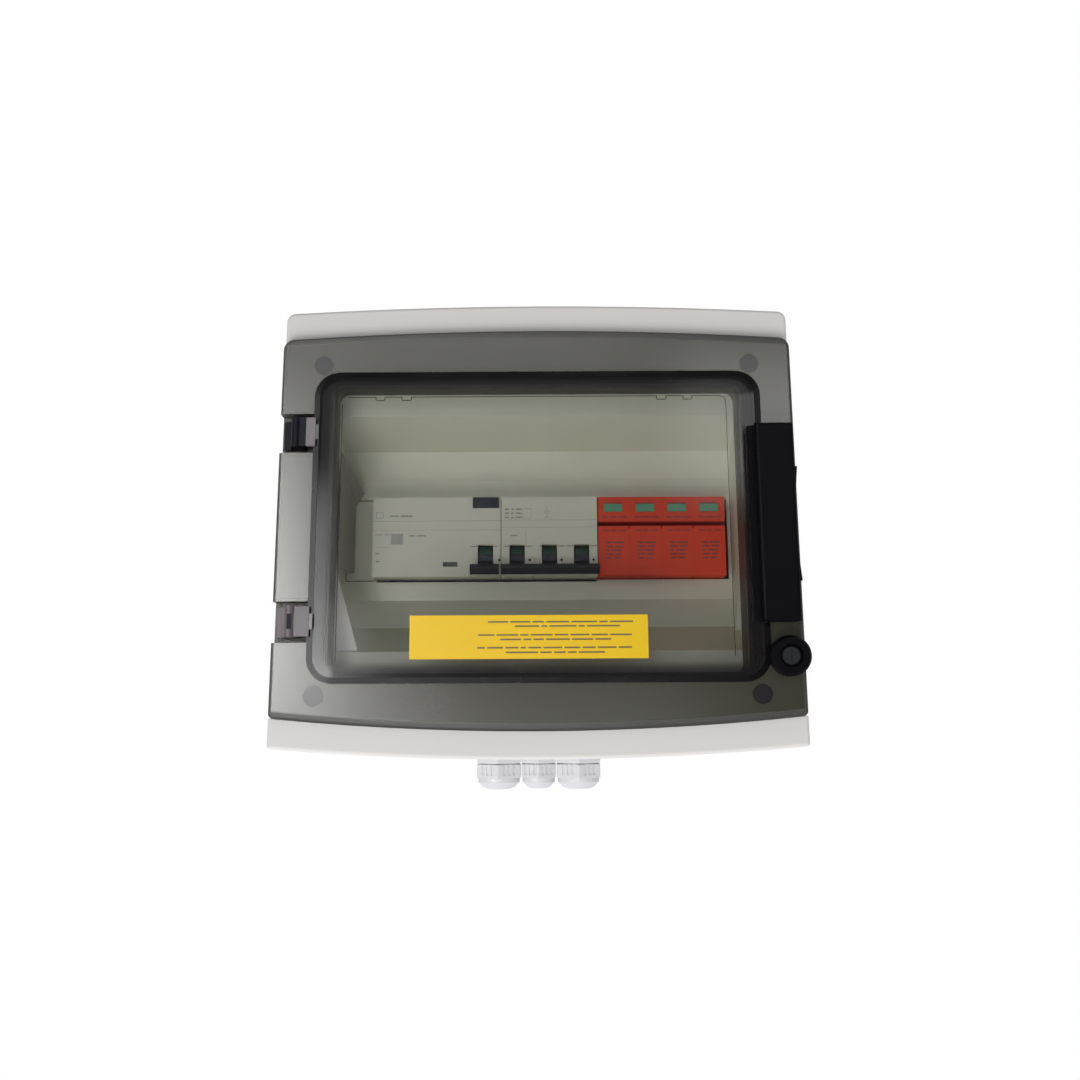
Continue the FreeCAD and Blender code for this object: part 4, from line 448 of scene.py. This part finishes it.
def make_switch_print():
    bars = [(-92.1, -20.7, 8.8, 9.05), (-92.1, -20.7, 3.7, 3.85), (-90.6, -86.4, 10.6, 10.9),
            (-90.6, -86.4, 13.6, 13.9), (-90.6, -90.3, 10.6, 13.9), (-86.7, -86.4, 10.6, 13.9),
            (-81.9, -75.2, -4.3, 1.7), (-90.8, -82.4, -6.1, -5.9)]
    bars += word_row(-82.8, -70.1, 11.3, 12.3, (5, 7))
    bars += word_row(-90.7, -82.6, 0.9, 1.5, (4, 3))
    bars += word_row(-71.9, -62.4, 0.1, 1.0, (3, 5))
    bars += [(-90.4, -88.2, -9.8, -9.0), (-90.3, -88.2, -14.3, -13.5)]
    fields("switch_print", "enclosure", "grey_ink", NOSE_DEPTH, bars)


def make_breaker_print():
    bars = [(-20.0, 33.3, 9.1, 9.3), (-20.0, 33.3, 5.0, 5.2), (-6.7, -6.5, -4.5, 4.0)]
    for low in (10.3, 12.6, 14.9):
        bars += word_row(-18.3, -9.0, low, low + 1.0, (3, 2, 4))
    bars += [(-8.4, -3.4, 10.3, 10.5), (-8.4, -3.4, 15.7, 15.9), (-8.4, -8.2, 10.3, 15.9),
             (-3.6, -3.4, 10.3, 15.9), (5.2, 5.5, 11.0, 17.4), (3.4, 7.4, 10.6, 10.8),
             (4.0, 4.3, 13.0, 15.0), (6.4, 6.7, 13.0, 15.0), (-15.2, -11.5, 0.0, 0.8)]
    fields("breaker_print", "enclosure", "grey_ink", NOSE_DEPTH, bars)


def make_arrester_print():
    strip, blocks, lines = [], [], []
    for number in range(CARTRIDGES):
        left = 34.2 + MODULE * number
        strip += word_row(left + 2.4, left + 15.6, 10.6, 11.3, (3, 5, 4))
        blocks += word_row(left + 2.4, left + 15.6, 3.0, 3.6, (4, 3, 5))
        for row, words in enumerate(((3, 6), (4, 4), (2, 6), (5, 4), (3, 3))):
            low = -4.0 - 2.2 * row
            blocks += word_row(left + 4.0, left + 14.0 - row * 0.5, low, low + 0.9, words)
        # A dark line of painted shadow along the top of each green window.
        lines.append((37.1 + MODULE * number, 47.9 + MODULE * number, 18.6, 19.3))
    fields("arrester_print", "enclosure", "red_ink_and_window_shadow", ARRESTER_DEPTH, strip + blocks)
    fields("window_top_shadows", "enclosure", "red_ink_and_window_shadow", ARRESTER_DEPTH, lines)


# Seams and gap lines
def make_cartridge_seams():
    """Strips over the joints between the arrester's cartridges."""
    fields("cartridge_seams", "enclosure", "arrester_base", ARRESTER_DEPTH - 0.1,
           [(middle - 0.35, middle + 0.35, -22.2, 4.4) for middle in (51.6, 69.6, 87.6)])


def make_panel_lines():
    """A dark line of painted shade in the gap round the inner panel, with its four notches, and a
    pale line of painted highlight along the panel's upper fold.
    """
    top, notch, line = 76.6, 2.0, 0.45
    notches = [(-89.3, -84.8), (-74.9, -70.0), (66.9, 71.7), (81.7, 86.2)]
    dark, left = [], -105.0
    for start, end in notches:
        dark += [(left, start, top - line, top), (start - line, start, top - notch, top),
                 (start, end, top - notch - line, top - notch),
                 (end, end + line, top - notch, top)]
        left = end
    dark += [(left, 102.5, top - line, top), (105.0, 105.4, -68.0, 73.0),
             (-108.3, -107.9, -70.0, 72.0), (102.5, 103.9, 75.6, 76.0),
             (103.9, 104.7, 74.6, 75.0), (104.7, 105.2, 73.0, 74.6)]
    fields("panel_gap_shade", "enclosure", "dark_seam_and_gap_shade", RIM_DEPTH, dark)
    # Painted highlight along the panel's upper fold.
    fields("panel_fold_highlight", "enclosure", "fold_highlight_pale", RIM_DEPTH,
           [(-103.0, 100.0, 66.9, 67.2)])


def make_module_lines():
    """Pale strips over the joints of the breaker poles, and the lines and dots at the slots."""
    fields("pole_seams", "enclosure", "device_grey", NOSE_DEPTH,
           [(-2.65, -2.15, -22.4, 22.4), (15.35, 15.85, -22.4, 22.4)])
    stretches = [(-37.6, -33.6), (-24.5, -22.6), (-18.7, -15.9), (-6.9, -2.8), (0.9, 2.1),
                 (11.1, 15.2), (16.0, 20.1), (29.1, 33.3)]
    fields("slot_lines", "enclosure", "dark_seam_and_gap_shade", NOSE_DEPTH,
           [(left, right, -5.8, -5.4) for left, right in stretches])
    dots = [(-21.3, -13.4), (-4.4, -13.4), (13.4, -13.4), (31.2, -13.4)]
    fields("rivet_dots", "enclosure", "dark_seam_and_gap_shade", NOSE_DEPTH,
           [(x - half, x + half, z - 1.1 + half, z + 1.1 - half)
            for x, z in dots for half in (0.4, 0.8)])
    # A black line of painted shadow in the gap under the devices.
    fields("cutout_gap_shadow", "enclosure", "black_edge_and_gap_shade", CUTOUT_DEPTH,
           [(-91.5, 33.5, -24.1, -23.1)])
    fields("blank_outline", "enclosure", "dark_seam_and_gap_shade", CUTOUT_DEPTH,
           [(-109.1, -108.7, -23.0, 23.5), (-109.1, -92.6, 23.1, 23.5),
            (-109.1, -92.6, -23.5, -23.1)])


# Trim that bends or turns
def make_off_mark(name, body, centres):
    """The green band on the upper side of each lever's drum, seen when the lever is down."""
    half_width, last = 3.5, 6
    corners, faces = [], []
    for centre in centres:
        for number in range(last + 1):
            turn = math.radians(14 + 7.5 * number)
            here = len(corners)
            for radius in (DRUM_RADIUS - 0.1, DRUM_RADIUS + 0.08):
                for x in (centre - half_width, centre + half_width):
                    corners.append((x, DRUM_DEPTH + radius * math.cos(turn),
                                    DRUM_Z + radius * math.sin(turn)))
            if number:
                back = here - 4
                faces += [(back + 2, back + 3, here + 3, here + 2),
                          (back + 1, back, here, here + 1),
                          (back, back + 2, here + 2, here),
                          (back + 3, back + 1, here + 1, here + 3)]
            if number in (0, last):
                faces.append((here, here + 1, here + 3, here + 2))
    make_piece(name, body, "slot_green", corners, faces)


def make_trough_wedge(name, way, reach, low, ink):
    """A pale wedge of painted light at a lower end of the panel's trough."""
    wall, depth, high, thickness = 110.3 * way, 98.0, -17.0, 1.0
    front = [(wall, depth, high), (wall, depth, low), (wall - reach * way, depth, low)]
    back = [(x, depth - thickness, z) for x, depth, z in front]
    make_piece(name, "enclosure", ink, front + back,
               [(0, 1, 2), (5, 4, 3), (0, 3, 4, 1), (1, 4, 5, 2), (2, 5, 3, 0)])


def make_trough_shade_sheet():
    """A dark sheet of painted shade at the left end of the panel's trough."""
    front = [(-108.2, 97.5, 46.0), (-99.0, 74.5, 27.0), (-103.8, 74.5, 20.0),
             (-103.8, 74.5, -19.0), (-108.2, 97.5, -19.0)]
    side = [(x - 0.5, depth, z) for x, depth, z in front]
    faces = [(0, 2, 1), (0, 4, 3, 2), (5, 6, 7), (5, 7, 8, 9)]
    faces += [(place, (place + 1) % 5, (place + 1) % 5 + 5, place + 5) for place in range(5)]
    make_piece("trough_shade_sheet", "enclosure", "cheek_shade", front + side, faces)


def make_hinge_barrel(name, ink, middle):
    """The round sleeve over a hinge's knuckle and ears, which turns with the door."""
    radius, half, count = 2.8, 8.1, 32
    corners = []
    for z in (middle - half, middle + half):
        for number in range(count):
            turn = 2 * math.pi * number / count
            corners.append((HINGE_X + radius * math.cos(turn),
                            HINGE_DEPTH - radius * math.sin(turn), z))
    faces = []
    for number in range(count):
        after = (number + 1) % count
        faces.append((number, after, count + after, count + number))
    faces += [tuple(reversed(range(count))), tuple(range(count, 2 * count))]
    make_piece(name, "door", ink, corners, faces)


def make_hinge_arms():
    """Plates that bring each hinge arm to its full height, a neck dark with painted shade, a slot
    and barrels; the upper barrel carries painted shade and the lower one a painted glare.
    """
    depth, slot_depth, half = DOOR_DEPTH - 2.6, DOOR_DEPTH + 0.3, 7.7
    for name, left, middle in (("hinge_arm_plate_upper", -122.6, HINGE_Z),
                               ("hinge_arm_plate_lower", -125.4, -HINGE_Z)):
        fields(name, "door", "arm_grey", depth,
               [(left, 0.2 - DOOR_HALF_WIDTH, middle - half, middle + half)], 2.2)
    fields("hinge_neck_upper", "door", "hinge_smoke_in_shade", depth, [(-127.0, -122.6, 42.7, 58.3)], 2.3)
    fields("hinge_slot_line", "door", "hinge_smoke_in_shade", slot_depth,
           [(-128.9, -126.7, -54.4, -46.6)], 0.2)
    make_hinge_barrel("hinge_barrel_upper", "hinge_smoke_in_shade", HINGE_Z)
    make_hinge_barrel("hinge_barrel_lower", "hinge_smoke_in_glare", -HINGE_Z)


def ring_loop(inset, depth):
    """A rounded rectangle at this inset from the door ring's outer edge."""
    half_width, half_height, shift_x, shift_z, corner_steps = 119.4, 83.1, 0.4, 0.7, 10
    radius = DOOR_CORNER - inset
    loop = []
    for quarter, (side_x, side_z) in enumerate(((1, 1), (-1, 1), (-1, -1), (1, -1))):
        middle_x = shift_x + side_x * (half_width - DOOR_CORNER)
        middle_z = shift_z + side_z * (half_height - DOOR_CORNER)
        for number in range(corner_steps + 1):
            turn = math.radians(90 * (quarter + number / corner_steps))
            loop.append((middle_x + radius * math.cos(turn), depth,
                         middle_z + radius * math.sin(turn)))
    return loop


def make_door_ring():
    """A black strip that runs round the door's outer edge and slopes inwards: partly the door's
    dark edge, partly painted shade of the gap between the door and the cover.
    """
    width, slope, thickness, depth = 3.0, 0.2, 0.10, 119.6
    loops = [ring_loop(0.0, depth), ring_loop(0.0, depth + thickness),
             ring_loop(width, depth + width * slope + thickness),
             ring_loop(width, depth + width * slope)]
    count = len(loops[0])
    faces = []
    for ring in range(4):
        for place in range(count):
            after = (place + 1) % count
            next_ring = (ring + 1) % 4
            faces.append((ring * count + place, ring * count + after,
                          next_ring * count + after, next_ring * count + place))
    make_piece("door_ring", "door", "black_edge_and_gap_shade", [corner for loop in loops for corner in loop],
               faces)


make_label()
make_switch_print()
make_breaker_print()
make_arrester_print()
make_cartridge_seams()
make_panel_lines()
make_module_lines()
make_off_mark("switch_off_mark", "rcd_lever", (SWITCH_LEVER_X,))
make_off_mark("breaker_off_marks", "mcb_levers", BREAKER_LEVERS_X)
# Patches of painted light on the trough's lower ends.
make_trough_wedge("trough_light_wedge_left", -1, 15.0, -68.5, "painted_light_pale")
make_trough_wedge("trough_light_wedge_right", 1, 4.2, -54.0, "painted_light_dim")
make_trough_shade_sheet()
make_hinge_arms()
make_door_ring()


# Camera, fitted to the photo
def place_camera():
    place, pitch_up, roll_right = (0.0014, -0.636, -0.0985), 9.9, -0.3
    camera = bpy.data.objects.new("camera", bpy.data.cameras.new("camera"))
    bpy.context.scene.collection.objects.link(camera)
    camera.data.lens = 33.4
    camera.data.sensor_width = 36.0
    camera.data.clip_start = 0.01
    pitch = Matrix.Rotation(math.radians(90 + pitch_up), 4, "X")
    roll = Matrix.Rotation(math.radians(roll_right), 4, "Z")
    camera.matrix_world = Matrix.Translation(place) @ pitch @ roll
    bpy.context.scene.camera = camera


# Light
def window_light():
    """One soft lamp below and in front of the board, aimed at its middle."""
    place = Vector((-0.45, -1.15, -1.10))
    light = bpy.data.lights.new("window_light", "AREA")
    light.size = 0.8
    light.energy = 12.0
    lamp = bpy.data.objects.new("window_light", light)
    bpy.context.scene.collection.objects.link(lamp)
    lamp.location = place
    lamp.rotation_euler = (-place).to_track_quat("-Z", "Y").to_euler()


def studio_world():
    """White to the camera, to mirrors and through clear pieces. The object itself gets a plain
    level that falls off from below to above."""
    level_below, level_above = 0.64, 0.32
    world = bpy.data.worlds.new("studio")
    bpy.context.scene.world = world
    world.use_nodes = True
    tree = world.node_tree
    background = tree.nodes["Background"]
    background.inputs["Color"].default_value = (1, 1, 1, 1)
    path = add(tree, "ShaderNodeLightPath")
    place = add(tree, "ShaderNodeTexCoord")
    heading = add(tree, "ShaderNodeSeparateXYZ")
    join(tree, place, "Generated", heading, "Vector")
    fill = step(tree, heading, "Z", -0.6, 0.8, level_below, level_above)
    seen = combine(tree, "MAXIMUM", (path, "Is Camera Ray"), (path, "Is Glossy Ray"))
    seen = combine(tree, "MAXIMUM", seen, (path, "Is Transmission Ray"))
    level = add(tree, "ShaderNodeMapRange", To_Max=1.0)
    join(tree, seen, "Value", level, "Value")
    join(tree, fill, "Result", level, "To Min")
    join(tree, level, "Result", background, "Strength")


# The room's windows and bright wall: middle x, middle z, half width, half height, fade (m), level
ROOM_PANES = [(-1.31, 0.40, 0.01, 0.15, 0.71, 29.0), (-1.52, -0.64, 0.25, 0.48, 0.85, 11.0),
              (-0.15, -0.45, 0.49, 0.19, 0.46, 2.3), (-0.56, -0.12, 0.18, 0.16, 0.16, 2.2),
              (-0.30, 1.40, 0.45, 0.15, 0.60, 3.0), (0.92, 0.92, 0.30, 0.15, 0.25, 5.5),
              (2.0, 1.15, 0.1, 0.1, 0.5, 1.8), (-2.35, 0.30, 0.2, 0.35, 0.3, 4.0),
              (-0.67, 0.17, 0.025, 0.05, 0.10, 5.0)]
ROOM_LEVEL = 0.12


def room_material():
    material = bpy.data.materials.new("room_card")
    material.use_nodes = True
    tree = material.node_tree
    tree.nodes.remove(tree.nodes["Principled BSDF"])
    glow = add(tree, "ShaderNodeEmission")
    pane_kind = pane_group()
    labels = ("Middle X", "Middle Z", "Half Width", "Half Height", "Fade", "Level")
    total = ROOM_LEVEL
    for numbers in ROOM_PANES:
        pane = use_group(tree, pane_kind, dict(zip(labels, numbers)))
        total = combine(tree, "ADD", pane, total)
    join(tree, total, "Value", glow, "Strength")
    join(tree, glow, "Emission", tree.nodes["Material Output"], "Surface")
    return material


def room_card():
    """The room that the smoked plastic mirrors: dim, with windows low on its left side."""
    mesh = bpy.data.meshes.new("room_card")
    mesh.from_pydata([(-4, 0, -3), (4, 0, -3), (4, 0, 4), (-4, 0, 4)], [], [(0, 1, 2, 3)])
    mesh.materials.append(room_material())
    card = bpy.data.objects.new("room_card", mesh)
    bpy.context.scene.collection.objects.link(card)
    card.location = (0, -3.0, 0)
    card.visible_camera = False
    card.visible_diffuse = False
    card.visible_shadow = False
    card.visible_transmission = False
    card.visible_volume_scatter = False


bpy.context.scene.view_settings.view_transform = "Standard"
place_camera()
studio_world()
window_light()
room_card()
